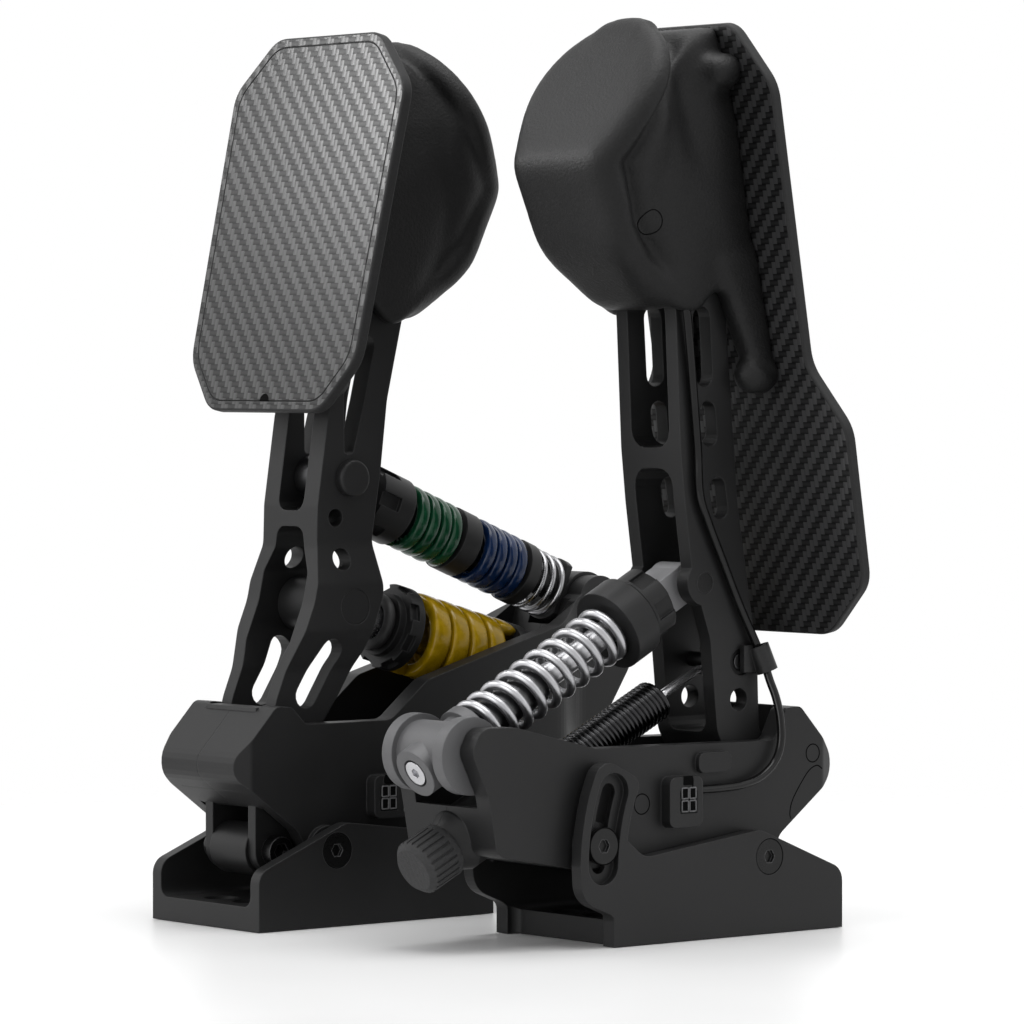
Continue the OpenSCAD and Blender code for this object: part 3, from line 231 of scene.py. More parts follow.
# Which points of the route lie in the clip and where the cable reaches the body
CLIP_POINT = 10
CABLE_ROUTE = [
    throttle_point(*p)
    for p in (
        (10, 17.7, 222), (9.5, 17.7, 212), (7.5, 17.4, 200), (5, 17, 180), (3, 17, 160), (2, 17, 145),
        (-2, 17, 135), (-8, 17, 123), (-15, 17, 109), (-22, 17.4, 96), (-25, 18, 90), (-26.2, 20, 83),
        (-26.6, 22.8, 77), (-26.6, 25, 70), (-26, 25.8, 62), (-23, 26, 56), (-17, 26, 51.6),
        (-9, 25.9, 49.4), (0, 25.7, 48.7), (9.6, 25.4, 48.6),
    )
]
CABLE_STEPS = 10


def add_cable():
    path = smooth_curve(CABLE_ROUTE, CABLE_STEPS)
    cut = CLIP_POINT * CABLE_STEPS
    section = round_section(CABLE_D, ROUND_SIDES)

    arm_path = path[: cut + 1]
    on_arm = add_mesh("cable_on_arm", *tube(arm_path, section, ASKEW))
    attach(on_arm, "throttle_arm")
    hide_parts("haptic_cable")

    loop_path = path[cut:]
    loop = add_mesh("cable_loop", *tube(loop_path, section, ASKEW))
    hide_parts("haptic_cable_loop")
    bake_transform(loop)
    return [on_arm, loop]


# Springs, wound as one wire each

# Steps in a turn, the gap between closed turns and the gap at each seat
TURN_STEPS = 48
END_GAP = 0.15
SEAT_GAP = 0.3

# A wire this many times as wide along the spring as across it has squarer corners
FLAT_RATIO = 1.2
FLAT_POWER = 0.5
ROUND_POWER = 0.7


def coil_height(turn, turns, ends, wire, length):
    """Height of the wire's middle after a number of turns, with closed turns at both ends."""
    end_pitch = wire + END_GAP
    free_turns = turns - 2 * ends
    free_pitch = (length - wire - 2 * ends * end_pitch) / free_turns
    return (
        wire / 2
        + end_pitch * min(turn, ends)
        + free_pitch * max(0.0, min(turn - ends, free_turns))
        + end_pitch * max(0.0, turn - turns + ends)
    )


# Name, frame, start, end, outer diameter, wire across and along, turns, closed turns at each end,
# body, joint, shortening at full press and slot
COIL_SPRINGS = (
    ("green_spring", UPPER, 32.3, 57.2, 22.7, 3.9, 4.4, 4, 0.8,
     "upper_spacer_front", "brake_press", 4.4, "green"),
    ("blue_spring", UPPER, 64.6, 88.6, 22.7, 3.9, 4.3, 4, 0.8,
     "upper_spacer_rear", "brake_press", 4.4, "blue"),
    ("silver_spring", UPPER, 93.2, 107.2, 22.1, 1.9, 1.9, 3.5, 0.75,
     "upper_tail", "brake_press", 5.4, "polished"),
    ("yellow_spring", LOWER, 34.2, 79.5, 29.0, 4.8, 7.3, 4.6, 0.8,
     "brake_body", "brake_press", 8.6, "yellow"),
    ("damper_spring", DAMPER, 33.0, 98.8, 20.0, 3.1, 3.1, 10, 0.8,
     "damper_tail", "throttle_press", 21.7, "polished"),
)


def wire_section(across, along):
    if across == along:
        return round_section(across, ROUND_SIDES)
    return flat_section(across, along, FLAT_POWER if along > FLAT_RATIO * across else ROUND_POWER)


def add_coil(name, place, start, end, outer, across, along, turns, ends, body, joint, shortening, slot):
    """Spring of one wire, in place of its node. The joint and the shortening are not used."""
    length = end - start - 2 * SEAT_GAP
    radius = (outer - across) / 2
    path = []
    for i in range(round(turns * TURN_STEPS) + 1):
        turn = i / TURN_STEPS
        a = 2 * math.pi * turn
        height = start + SEAT_GAP + coil_height(turn, turns, ends, along, length)
        path.append(Vector((radius * math.cos(a), radius * math.sin(a), height)))
    points, faces = tube(path, wire_section(across, along), Vector((0, 0, 1)))
    piece = add_mesh(name + "_wound", [place @ p for p in points], faces, body, slot)
    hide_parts(name)
    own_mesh(piece)
    return piece


# Helper spring: a close coil, a plug in its front end and a shank with a hook round the arm's pin

HELPER_WIRE = 1.86
HELPER_OUTER = 14.4
HELPER_COIL = (28.2, 108.0)
HELPER_TURNS = 44
HELPER_STEPS = 30
HELPER_SIDES = 12
SHANK_D = 3.1
HOOK_RADIUS = 4.75
HOOK_ANGLES = range(-200, 79, 13)
NECK_HEIGHTS = (HOOK_RADIUS + 2.6, 12, HELPER_COIL[0] - 1)
PLUG_GAP = 0.1
PLUG_SIDES = 40

# Points of the coil's tail, as two shares of its radius and a height above it
HELPER_TAIL = ((0.75, 0.3, 1), (0, 0, 3.2), (0, 0, 5.5))


def helper_coil_path():
    radius = (HELPER_OUTER - HELPER_WIRE) / 2
    low, high = HELPER_COIL
    steps = HELPER_STEPS * HELPER_TURNS
    coil = []
    for i in range(steps + 1):
        a = 2 * math.pi * HELPER_TURNS * i / steps
        coil.append(Vector((radius * math.cos(a), radius * math.sin(a), low + (high - low) * i / steps)))
    tail = [Vector((radius * u, radius * v, high + rise)) for u, v, rise in HELPER_TAIL]
    return coil + smooth_curve([coil[-1]] + tail, steps=4)[1:]


def shank_path():
    bend = [math.radians(a) for a in HOOK_ANGLES]
    hook = [Vector((HOOK_RADIUS * math.cos(a), 0, HOOK_RADIUS * math.sin(a))) for a in bend]
    neck = [Vector((0, 0, z)) for z in NECK_HEIGHTS]
    return smooth_curve(hook + neck, steps=3)


def add_helper():
    low = HELPER_COIL[0]
    bore = HELPER_OUTER / 2 - HELPER_WIRE - PLUG_GAP

    # Radius and height of each edge of the plug, from its nose to its foot inside the coil
    plug = [
        (1.5, low - 1.6),
        (bore - 0.8, low - 1.4),
        (bore - 0.1, low - 0.7),
        (bore, low),
        (bore, low + 6),
    ]
    forms = {
        "helper_spring_wound": tube(helper_coil_path(), round_section(HELPER_WIRE, HELPER_SIDES), ASKEW),
        "helper_shank": tube(shank_path(), round_section(SHANK_D, ROUND_SIDES), ASKEW),
        "helper_plug": (turned_points(plug, PLUG_SIDES), tube_faces(len(plug), PLUG_SIDES)),
    }
    pieces = {}
    for name, (points, faces) in forms.items():
        piece = add_mesh(name, [HELPER @ p for p in points], faces, "helper_spring", "spring_steel")
        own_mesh(piece)
        pieces[name] = piece
    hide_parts("helper_spring")
    return pieces


# Pods, moulded with wide fillets. Depths behind the plate's front and heights are in the plate's own frame

# Welding distance, voxel size, smoothing passes and their strength, and the share of faces kept
WELD = 0.001 * MM
POD_VOXEL = 1.1 * MM
POD_PASSES = 90
LAST_PASSES = 6
SMOOTH_FACTOR = 0.5
POD_SHARE = 0.45

# Outward angle of each outer face of a pod's shell, and a point on it: slanted disc, rear and chin
POD_FACES = ((43.0, (49.1, 95.4)), (-13.2, (67.8, 72.8)), (-38.3, (61.5, 49.0)))

# Depths between which the wide fillet fades out, the weight that stays, and the shell's swell
FILLET_DEPTHS = (5.5, 9.5)
SMALL_FILLET = 0.16
POD_SWELL = 1.8

# Groove behind the lip: its depth below the shell's faces, half width, depth, and heights where it fades in
GROOVE_AT = 9.3
GROOVE_HALF = 2.5
GROOVE_DEPTH = 3.6
GROOVE_FADE = (36, 50)

# Valley beside the ears: middle, half widths, depth, and distances from the middle plane where it fades in
VALLEY_AT = (25.0, 90.0)
VALLEY_HALF = (8.5, 21.0)
VALLEY_DEPTH = 5.0
VALLEY_FADE = (9, 14)

# Chin: how far it drops, and the heights and depths where the drop fades in
CHIN_DROP = 4.5
CHIN_HEIGHTS = (62, 42)
CHIN_DEPTHS = (22, 32)


def ease(value, low, high):
    """Smooth step from 0 at low to 1 at high."""
    t = min(1.0, max(0.0, (value - low) / (high - low)))
    return t * t * (3 - 2 * t)


def shell_depth(point):
    """Depth of a point below the nearest outer face of a pod's shell."""
    depths = []
    for degrees, (x, z) in POD_FACES:
        a = math.radians(degrees)
        depths.append((x - point.x) * math.cos(a) + (z - point.z) * math.sin(a))
    return min(depths)


def pod_shift(point, weight, relief):
    """Outward shift of a point: a swelled shell, a groove behind its lip and a valley beside the ears."""
    from_groove = (shell_depth(point) - GROOVE_AT) / GROOVE_HALF
    groove = math.exp(-(from_groove**2)) * ease(point.z, *GROOVE_FADE)
    along = (point.x - VALLEY_AT[0]) / VALLEY_HALF[0]
    upward = (point.z - VALLEY_AT[1]) / VALLEY_HALF[1]
    valley = math.exp(-(along**2) - upward**2) * ease(abs(point.y), *VALLEY_FADE)
    return POD_SWELL * weight - relief * (GROOVE_DEPTH * groove + VALLEY_DEPTH * valley)


def settled(piece):
    """Mesh of a piece with its modifiers applied, and the modifiers taken off."""
    mesh = bpy.data.meshes.new_from_object(piece.evaluated_get(bpy.context.evaluated_depsgraph_get()))
    piece.modifiers.clear()
    piece.data = mesh
    return mesh


def add_pod(node, place, body, relief):
    """Pod with wide fillets, a groove behind its lip, a valley beside its ears and a dropped chin."""
    mesh = nodes[node].data.copy()
    builder = bmesh.new()
    builder.from_mesh(mesh)
    bmesh.ops.remove_doubles(builder, verts=builder.verts, dist=WELD)
    builder.to_mesh(mesh)
    builder.free()
    pod = bpy.data.objects.new(node + "_rounded", mesh)
    scene.collection.objects.link(pod)

    remesh = pod.modifiers.new("remesh", "REMESH")
    remesh.mode = "VOXEL"
    remesh.voxel_size = POD_VOXEL
    to_plate = place.inverted()
    depths = [shell_depth(to_plate @ vertex.co) for vertex in settled(pod).vertices]
    weights = [max(SMALL_FILLET, 1 - ease(depth, *FILLET_DEPTHS)) for depth in depths]
    shell = pod.vertex_groups.new(name="shell")
    for index, weight in enumerate(weights):
        shell.add([index], weight, "REPLACE")
    fillet = pod.modifiers.new("fillet", "SMOOTH")
    fillet.factor = SMOOTH_FACTOR
    fillet.iterations = POD_PASSES
    fillet.vertex_group = shell.name

    smooth = settled(pod)
    normals = [vertex.normal.copy() for vertex in smooth.vertices]
    for vertex, normal, weight in zip(smooth.vertices, normals, weights):
        point = to_plate @ (vertex.co + normal * MM * pod_shift(to_plate @ vertex.co, weight, relief))
        point.z -= CHIN_DROP * ease(point.z, *CHIN_HEIGHTS) * ease(point.x, *CHIN_DEPTHS)
        vertex.co = place @ point
    last = pod.modifiers.new("last", "SMOOTH")
    last.factor = SMOOTH_FACTOR
    last.iterations = LAST_PASSES
    fewer = pod.modifiers.new("fewer", "DECIMATE")
    fewer.ratio = POD_SHARE
    for polygon in settled(pod).polygons:
        polygon.use_smooth = True
    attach(pod, body)
    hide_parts(node)
    return pod


# Marks on the surfaces, partly sunk: thin black lines and flat black patches painted as shade in gaps, slots
# and openings, and pale lines painted as highlights on rims


def circle_outline(middle, radius, steps=36):
    turn = 2 * math.pi / steps
    return [
        Vector((middle[0] + radius * math.cos(k * turn), middle[1] + radius * math.sin(k * turn)))
        for k in range(steps)
    ]


def soft_outline(corners, cut, steps=6):
    """Outline with each corner cut back by a distance and curved."""
    out = []
    for i, corner in enumerate(corners):
        before = corner + (corners[i - 1] - corner).normalized() * cut
        after = corner + (corners[(i + 1) % len(corners)] - corner).normalized() * cut
        for k in range(steps + 1):
            t = k / steps
            out.append(before * (1 - t) ** 2 + corner * 2 * t * (1 - t) + after * t**2)
    return out


def oblong_outline(middle, size, cut):
    """Upright oblong with curved corners."""
    half = Vector(size) / 2
    signs = ((-1, -1), (1, -1), (1, 1), (-1, 1))
    return soft_outline([Vector(middle) + Vector((u * half.x, v * half.y)) for u, v in signs], cut)


def inset(corners, distance):
    """Corners of an outline that turns left, drawn in by a distance."""
    out = []
    for i, corner in enumerate(corners):
        before = (corner - corners[i - 1]).normalized()
        after = (corners[(i + 1) % len(corners)] - corner).normalized()
        inward = Vector((-before.y, before.x))
        middle = (inward + Vector((-after.y, after.x))).normalized()
        out.append(corner + middle * distance / middle.dot(inward))
    return out


def add_lines(name, loops, diameter, body, slot):
    """Closed lines through points of the row frame, as one piece."""
    section = round_section(diameter, LINE_SIDES)
    points = []
    faces = []
    for loop in loops:
        third = len(loop) // 3
        outward = (loop[third] - loop[0]).cross(loop[2 * third] - loop[0]).normalized()
        first = len(points)
        for i, place in enumerate(loop):
            way = (loop[(i + 1) % len(loop)] - loop[i - 1]).normalized()
            side = way.cross(outward)
            points.extend(place + side * u + outward * v for u, v in section)
        around = len(loop) * len(section)
        for face in band_faces(0, len(loop) + 1, len(section)):
            faces.append(tuple(first + corner % around for corner in face))
    return add_mesh(name, points, faces, body, slot)


PATCH_SHARP = math.radians(30)


def add_patches(name, loops, inward, body, slot):
    """Thin flat patches, each from a closed line of points and sunk along a vector, as one piece."""
    points = []
    faces = []
    for loop in loops:
        first, count = len(points), len(loop)
        points += loop + [p + inward for p in loop]
        faces += band_faces(first, 2, count)
        faces += [tuple(range(first, first + count)), tuple(range(first + count, first + 2 * count))]
    return add_mesh(name, points, faces, body, slot, sharp=PATCH_SHARP)


# Distances of a pedal's side faces from its middle plane: body, bolt heads and connector pads
BODY_HALF = 23.0
BOLT_FACE = 29.9
PAD_FACE = 27.5

# Middles of the connectors
BRAKE_SOCKET = (6.6, 41.0)
THROTTLE_SOCKET = (16.0, 45.0)

# Thickness of the lines and rims, and how far the marks sink in or stand out
LINE_D = 0.5
RIM_D = 0.36
CELL_RIM_D = 0.5
LINE_DEPTH = 0.12
PATCH_PROUD = 0.05
PATCH_DEPTH = 0.4

# Middle, radius and level of the round marks on a pedal's sides: black rings painted as the shade in the gaps
# round bolt heads and flush marks
BOLT_RIMS = (((-17.3, 25.4), 5.95, BOLT_FACE), ((54.3, 32.9), 5.95, BOLT_FACE))
FLUSH_MARKS = (((32.4, 44.9), 3.3, BODY_HALF), ((-43.0, 58.0), 3.0, BODY_HALF))


def side_loop(point, outline, y):
    """Points of the row frame for an outline, given as x and z, on a side face of a pedal."""
    return [point(p.x, y, p.y) for p in outline]


def add_side_marks(name, point, body, marks):
    loops = [
        side_loop(point, circle_outline(middle, radius), side * (level - LINE_DEPTH))
        for middle, radius, level in marks
        for side in (-1, 1)
    ]
    return add_lines(name, loops, LINE_D * MM, body, "anodised")


# Middle of each cell of a connector beside its socket's middle, the cells' size, and the latch above them
CELLS = [(x, z) for x in (-1.65, 1.65) for z in (-1.3, 2.9)]
CELL_SIZE = (2.7, 3.5)
CELL_CUT = 0.4
LATCH_AT = (0.3, 7.0)
LATCH_SIZE = (4.2, 3.0)


def cell_loops(point, socket, side):
    outlines = [oblong_outline((socket[0] + x, socket[1] + z), CELL_SIZE, CELL_CUT) for x, z in CELLS]
    return [side_loop(point, outline, side * (PAD_FACE + PATCH_PROUD)) for outline in outlines]


def add_rims(name, point, body, socket, side):
    """Pale rims painted as highlights on the edges of a connector's four cells."""
    return add_lines(name, cell_loops(point, socket, side), CELL_RIM_D * MM, body, "moulded")


def add_openings(name, point, body, socket, side):
    """Dark patches painted as the shade inside a connector's cell openings and its latch opening."""
    loops = cell_loops(point, socket, side)
    latch = oblong_outline((socket[0] + LATCH_AT[0], socket[1] + LATCH_AT[1]), LATCH_SIZE, CELL_CUT)
    loops.append(side_loop(point, latch, side * (PAD_FACE + PATCH_PROUD)))
    return add_patches(name, loops, point(0, -side * PATCH_DEPTH, 0) - point(0, 0, 0), body, "moulded")


# Black line round the cheek of the throttle's nose, painted as the shade in its seam, as x and z on a side
# face
CHEEK_LINE = (
    (-47.3, 52.6), (-44.9, 53.8), (-41.5, 52.4), (-38.0, 48.6), (-33.9, 42.8), (-32.7, 38.6), (-33.2, 36.6),
)


def add_cheeks():
    section = round_section(LINE_D * MM, LINE_SIDES)
    points = []
    faces = []
    for side in (-1, 1):
        level = side * (BODY_HALF - LINE_DEPTH)
        path = smooth_curve([throttle_point(x, level, z) for x, z in CHEEK_LINE], steps=6)
        line_points, line_faces = tube(path, section, ASKEW)
        first = len(points)
        points += line_points
        faces += [tuple(first + corner for corner in face) for face in line_faces]
    return add_mesh("throttle_cheek_lines", points, faces, "throttle_body", "anodised")


# Slots of the second port, in the brake's connector pad: their middles, size and corner cut. The slots are
# black patches painted as the shade in them, and their pale rims are painted highlights.
PORT_SLOTS = ((15.8, 40.0), (15.8, 37.3))
PORT_SIZE = (5.6, 1.3)
PORT_CUT = 0.5


def add_port():
    outlines = [oblong_outline(middle, PORT_SIZE, PORT_CUT) for middle in PORT_SLOTS]
    loops = [side_loop(brake_point, outline, -PAD_FACE - PATCH_PROUD) for outline in outlines]
    slots = add_patches("brake_port_slots", loops, Vector((0, PATCH_DEPTH * MM, 0)), "brake_body", "moulded")
    rims = add_lines("brake_port_rims", loops, RIM_D * MM, "brake_body", "moulded")
    return slots, rims


# Plates, with curved corners and eased edges. Corners are half widths and heights in the plate's own frame

PLATE_THICKNESS = 4.0
BRAKE_CORNERS = ((31.0, -18.0), (46.0, -0.5), (47.4, 93.5), (28.5, 112.3))
THROTTLE_CORNERS = ((34.0, -93.5), (53.2, -76.0), (54.0, -24.0), (38.0, -3.0), (38.0, 90.0), (22.0, 111.0))
CORNER_CUT = 5.0
PLATE_SHARP = math.radians(20)

# Size of the eased edges, and the share of it by which their middle is drawn in
EDGE_EASE = 0.7
EDGE_MIDDLE = 0.3

# Seam: distance from the edge, half width and depth. Notch on it: radius and steps
SEAM_INSET = 3.4
SEAM_HALF = 0.26
SEAM_DEPTH = 0.5
NOTCH_R = 2.5
NOTCH_STEPS = 16


def add_plate(node, place, corners, with_seam, body):
    """Plate with eased edges. The seam is a groove round the front, inside the edge."""
    right = [Vector(corner) for corner in corners]
    outline = right + [Vector((-corner.x, corner.y)) for corner in reversed(right)]
    front = [(EDGE_EASE, 0), (EDGE_EASE * EDGE_MIDDLE, EDGE_EASE * EDGE_MIDDLE), (0, EDGE_EASE)]
    profile = front + [(drawn_in, PLATE_THICKNESS - depth) for drawn_in, depth in reversed(front)]
    if with_seam:
        seam = [(SEAM_INSET + SEAM_HALF, 0), (SEAM_INSET, SEAM_DEPTH), (SEAM_INSET - SEAM_HALF, 0)]
        profile = seam + profile
    points = [
        place @ Vector((depth, p.x, p.y))
        for drawn_in, depth in profile
        for p in soft_outline(inset(outline, drawn_in), CORNER_CUT)
    ]
    sides = len(points) // len(profile)
    faces = tube_faces(len(profile), sides)
    plate = add_mesh(node + "_eased", points, faces, body, "carbon", sharp=PLATE_SHARP)
    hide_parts(node)
    return plate


def add_plate_notch():
    """Half-round notch on the seam, at the foot of the brake plate, as a black patch painted as the shade in
    it.
    """
    foot = BRAKE_CORNERS[0][1] + SEAM_INSET
    loop = [
        BRAKE_PLATE @ Vector((-PATCH_PROUD, NOTCH_R * math.cos(a), foot + NOTCH_R * math.sin(a)))
        for a in (math.pi * k / NOTCH_STEPS for k in range(NOTCH_STEPS + 1))
    ]
    inward = BRAKE_PLATE.to_3x3() @ Vector((PATCH_DEPTH, 0, 0))
    return add_patches("brake_plate_notch", [loop], inward, "brake_arm", "carbon")


# Ring on the throttle's pod: middle, radius, and where the rays towards the pod start
POD_PLUG_AT = (48.1, 51.8)
POD_PLUG_R = 4.0
POD_PLUG_REACH = 40


def add_pod_plug(pod):
    """Black ring painted as the shade in the gap round a round plug, laid on the side of the throttle's pod.
    """
    surface = BVHTree.FromObject(pod, bpy.context.evaluated_depsgraph_get())
    inward = THROTTLE_PLATE.to_3x3() @ Vector((0, -1, 0))
    loop = []
    for p in circle_outline(POD_PLUG_AT, POD_PLUG_R):
        outside = THROTTLE_PLATE @ Vector((p.x, POD_PLUG_REACH, p.y))
        loop.append(surface.ray_cast(outside, inward)[0] + inward.normalized() * LINE_DEPTH * MM)
    return add_lines("throttle_pod_plug_ring", [loop], LINE_D * MM, "throttle_arm", "moulded")


# Materials

# Colour of edges: partly rubbed wear, partly a painted edge highlight
WORN_AND_HIGHLIGHT_COLOR = (0.16, 0.16, 0.165, 1.0)


class Shader:
    """A material with its main shader, and short calls for the nodes that feed it."""

    def __init__(self, name, color, roughness, metallic=0.0, **sockets):
        self.material = bpy.data.materials.new(name)
        self.material.use_nodes = True
        self.tree = self.material.node_tree
        self.bsdf = self.tree.nodes["Principled BSDF"]
        self.set("Base Color", (*color, 1.0))
        self.set("Roughness", roughness)
        self.set("Metallic", metallic)
        for socket, value in sockets.items():
            self.set(socket.replace("_", " "), value)
        self.place = self.tree.nodes.new("ShaderNodeTexCoord").outputs["Object"]

    def set(self, socket, value):
        self.bsdf.inputs[socket].default_value = value

    def link(self, output, socket):
        self.tree.links.new(output, self.bsdf.inputs[socket])

    def node(self, kind, inputs=None, **settings):
        made = self.tree.nodes.new(kind)
        for key, value in settings.items():
            setattr(made, key, value)
        for key, value in (inputs or {}).items():
            if isinstance(value, bpy.types.NodeSocket):
                self.tree.links.new(value, made.inputs[key])
            else:
                made.inputs[key].default_value = value
        return made

    def math(self, operation, a, b=0.0):
        return self.node("ShaderNodeMath", {0: a, 1: b}, operation=operation).outputs[0]

    def noise(self, scale, detail=3.0, rough=0.5):
        inputs = {"Vector": self.place, "Scale": scale, "Detail": detail, "Roughness": rough}
        return self.node("ShaderNodeTexNoise", inputs).outputs["Fac"]

    def span(self, value, low, high, to_low, to_high):
        names = ("Value", "From Min", "From Max", "To Min", "To Max")
        inputs = dict(zip(names, (value, low, high, to_low, to_high)))
        return self.node("ShaderNodeMapRange", inputs).outputs[0]

    def ramp(self, value, stops):
        made = self.node("ShaderNodeValToRGB", {"Fac": value})
        ramp = made.color_ramp
        while len(ramp.elements) < len(stops):
            ramp.elements.new(0.5)
        for element, (place, color) in zip(ramp.elements, stops):
            element.position = place
            element.color = (*color, 1.0)
        return made.outputs["Color"]

    def worn_and_highlit(self, color, edge, amount):
        """Colour that turns paler along edges within a small radius: partly rubbed wear, partly a painted
        edge highlight.
        """
        soft = self.node("ShaderNodeBevel", {"Radius": edge}, samples=4).outputs["Normal"]
        flat = self.node("ShaderNodeNewGeometry").outputs["Normal"]
        likeness = self.node("ShaderNodeVectorMath", {0: soft, 1: flat}, operation="DOT_PRODUCT")
        paler = self.span(likeness.outputs["Value"], 0.8, 1.0, amount, 0.0)
        mix = self.node("ShaderNodeMix", {0: paler}, data_type="RGBA")
        self.tree.links.new(color, mix.inputs[6])
        mix.inputs[7].default_value = WORN_AND_HIGHLIGHT_COLOR
        return mix.outputs[2]

    def bump(self, height, distance, strength=1.0, edge=0.0):
        """Relief from a height, over edges softened by a small radius."""
        inputs = {"Height": height, "Distance": distance, "Strength": strength}
        if edge:
            inputs["Normal"] = self.node("ShaderNodeBevel", {"Radius": edge}, samples=4).outputs["Normal"]
        self.link(self.node("ShaderNodeBump", inputs).outputs["Normal"], "Normal")


def grey(level):
    """Near-neutral dark colour, a touch cool."""
    return (level, level, level * 1.03)


def anodised(name, dark, light, roughness, edge_wear_and_highlight=0.12):
    """Satin black anodised metal: slight cloudiness, fine blasted grain, and edges painted paler, partly as
    rubbed wear and partly as a painted edge highlight.
    """
    look = Shader(name, grey(dark), roughness, metallic=0.2, Specular_IOR_Level=0.3)
    cloud = look.noise(22.0, detail=4.0)
    clean = look.ramp(cloud, ((0.3, grey(dark)), (0.72, grey(light))))
    look.link(look.worn_and_highlit(clean, edge=0.0005, amount=edge_wear_and_highlight), "Base Color")
    grain = look.noise(2600.0, detail=2.0)
    uneven = look.math("ADD", cloud, grain)
    look.link(look.span(uneven, 0.6, 1.4, roughness - 0.06, roughness + 0.08), "Roughness")
    look.bump(grain, distance=0.00003, strength=0.5, edge=0.0006)
    return look.material


def moulded(name, dark, light, roughness, grain_depth, specular=0.3):
    """Moulded plastic with a fine pebbled grain."""
    look = Shader(name, grey(dark), roughness, Specular_IOR_Level=specular)
    pebble = {"Scale": 1100.0, "Vector": look.place}
    cell = look.node("ShaderNodeTexVoronoi", pebble, feature="SMOOTH_F1").outputs["Distance"]
    fine = look.noise(3200.0, detail=3.0)
    cloud = look.noise(30.0, detail=3.0)
    relief = look.math("ADD", cell, fine)
    tone = look.math("MULTIPLY", relief, cloud)
    look.link(look.ramp(tone, ((0.2, grey(dark)), (0.75, grey(light)))), "Base Color")
    look.link(look.span(fine, 0.3, 0.7, roughness - 0.08, roughness + 0.1), "Roughness")
    look.bump(relief, distance=grain_depth, strength=0.8, edge=0.0006)
    return look.material


def steel(name, level, roughness, scratch=0.04, metallic=1.0):
    """Machined steel with faint turning marks and smears."""
    look = Shader(name, grey(level), roughness, metallic)
    marks = look.noise(1400.0, detail=4.0, rough=0.6)
    smear = look.noise(60.0, detail=3.0)
    look.link(look.ramp(smear, ((0.3, grey(level * 0.78)), (0.65, grey(level)))), "Base Color")
    uneven = look.math("ADD", marks, smear)
    look.link(look.span(uneven, 0.6, 1.4, roughness - scratch, roughness + scratch * 2), "Roughness")
    look.bump(marks, distance=0.00002, strength=0.3, edge=0.0004)
    return look.material


def paint(name, color, roughness=0.22):
    """Gloss paint on spring wire, thinner and darker in streaks."""
    look = Shader(name, color, roughness, Specular_IOR_Level=0.25, Coat_Weight=0.18, Coat_Roughness=0.08)
    streak = look.noise(180.0, detail=5.0, rough=0.6)
    dark = tuple(c * 0.66 for c in color)
    look.link(look.ramp(streak, ((0.32, dark), (0.6, color))), "Base Color")
    peel = look.noise(900.0, detail=2.0)
    look.link(look.span(streak, 0.3, 0.7, roughness - 0.06, roughness + 0.12), "Roughness")
    look.bump(peel, distance=0.00003, strength=0.35)
    return look.material


def rubber(name, level, roughness, specular=0.5):
    """Dull rubber with a little dust."""
    look = Shader(name, grey(level), roughness, Specular_IOR_Level=specular)
    dust = look.noise(400.0, detail=4.0, rough=0.6)
    look.link(look.ramp(dust, ((0.35, grey(level)), (0.8, grey(level * 2.2)))), "Base Color")
    look.link(look.span(dust, 0.3, 0.7, roughness - 0.1, roughness + 0.1), "Roughness")
    look.bump(dust, distance=0.00004, strength=0.4, edge=0.0004)
    return look.material


def sheath(name, level, roughness):
    """Smooth cable jacket, slightly uneven in gloss."""
    look = Shader(name, grey(level), roughness, Specular_IOR_Level=0.25)
    handling = look.noise(90.0, detail=3.0)
    look.link(look.ramp(handling, ((0.3, grey(level)), (0.75, grey(level * 1.8)))), "Base Color")
    look.link(look.span(handling, 0.3, 0.7, roughness - 0.05, roughness + 0.08), "Roughness")
    return look.material


# Width of a tow, tows in one repeat of the twill, and the phase below which the warp lies on top
TOW = 1.98 * MM
REPEAT = 4.0
ON_TOP = 1.5


def carbon(name, plate, dark, light, roughness, coat):
    """Twill-woven carbon under a thin satin coat, laid out in the plate's own plane."""
    look = Shader(name, grey(dark), roughness, Coat_Weight=coat, Coat_Roughness=0.4)
    mapping = look.node("ShaderNodeMapping", {"Vector": look.place}, vector_type="TEXTURE")
    mapping.inputs["Location"].default_value = plate.to_translation()
    mapping.inputs["Rotation"].default_value = plate.to_euler()
    axes = look.node("ShaderNodeSeparateXYZ", {"Vector": mapping.outputs["Vector"]}).outputs
    across = look.math("DIVIDE", axes["Y"], TOW)
    upward = look.math("DIVIDE", axes["Z"], TOW)
    column = look.math("FLOOR", across)
    row = look.math("FLOOR", upward)
    phase = look.math("FLOORED_MODULO", look.math("SUBTRACT", row, column), REPEAT)
    warp_on_top = look.math("LESS_THAN", phase, ON_TOP)
    in_column = look.math("SUBTRACT", across, column)
    in_row = look.math("SUBTRACT", upward, row)
    warp_crown = look.math("SINE", look.math("MULTIPLY", in_column, math.pi))
    weft_crown = look.math("SINE", look.math("MULTIPLY", in_row, math.pi))
    mix = look.node("ShaderNodeMix", {0: warp_on_top}, data_type="FLOAT")
    look.tree.links.new(weft_crown, mix.inputs[2])
    look.tree.links.new(warp_crown, mix.inputs[3])
    height = mix.outputs[0]
    fibre = look.noise(5200.0, detail=2.0)
    shading = look.math("MULTIPLY", look.math("ADD", height, fibre), 0.2)
    tone = look.math("ADD", look.math("MULTIPLY", warp_on_top, 0.5), shading)
    look.link(look.ramp(tone, ((0.12, grey(dark)), (0.7, grey(light)))), "Base Color")
    look.link(look.span(tone, 0.1, 0.8, roughness + 0.06, roughness - 0.04), "Roughness")
    look.link(look.span(tone, 0.1, 0.8, 0.08, 0.45), "Specular IOR Level")
    look.bump(height, distance=0.0001, strength=0.5, edge=0.0005)
    return look.material


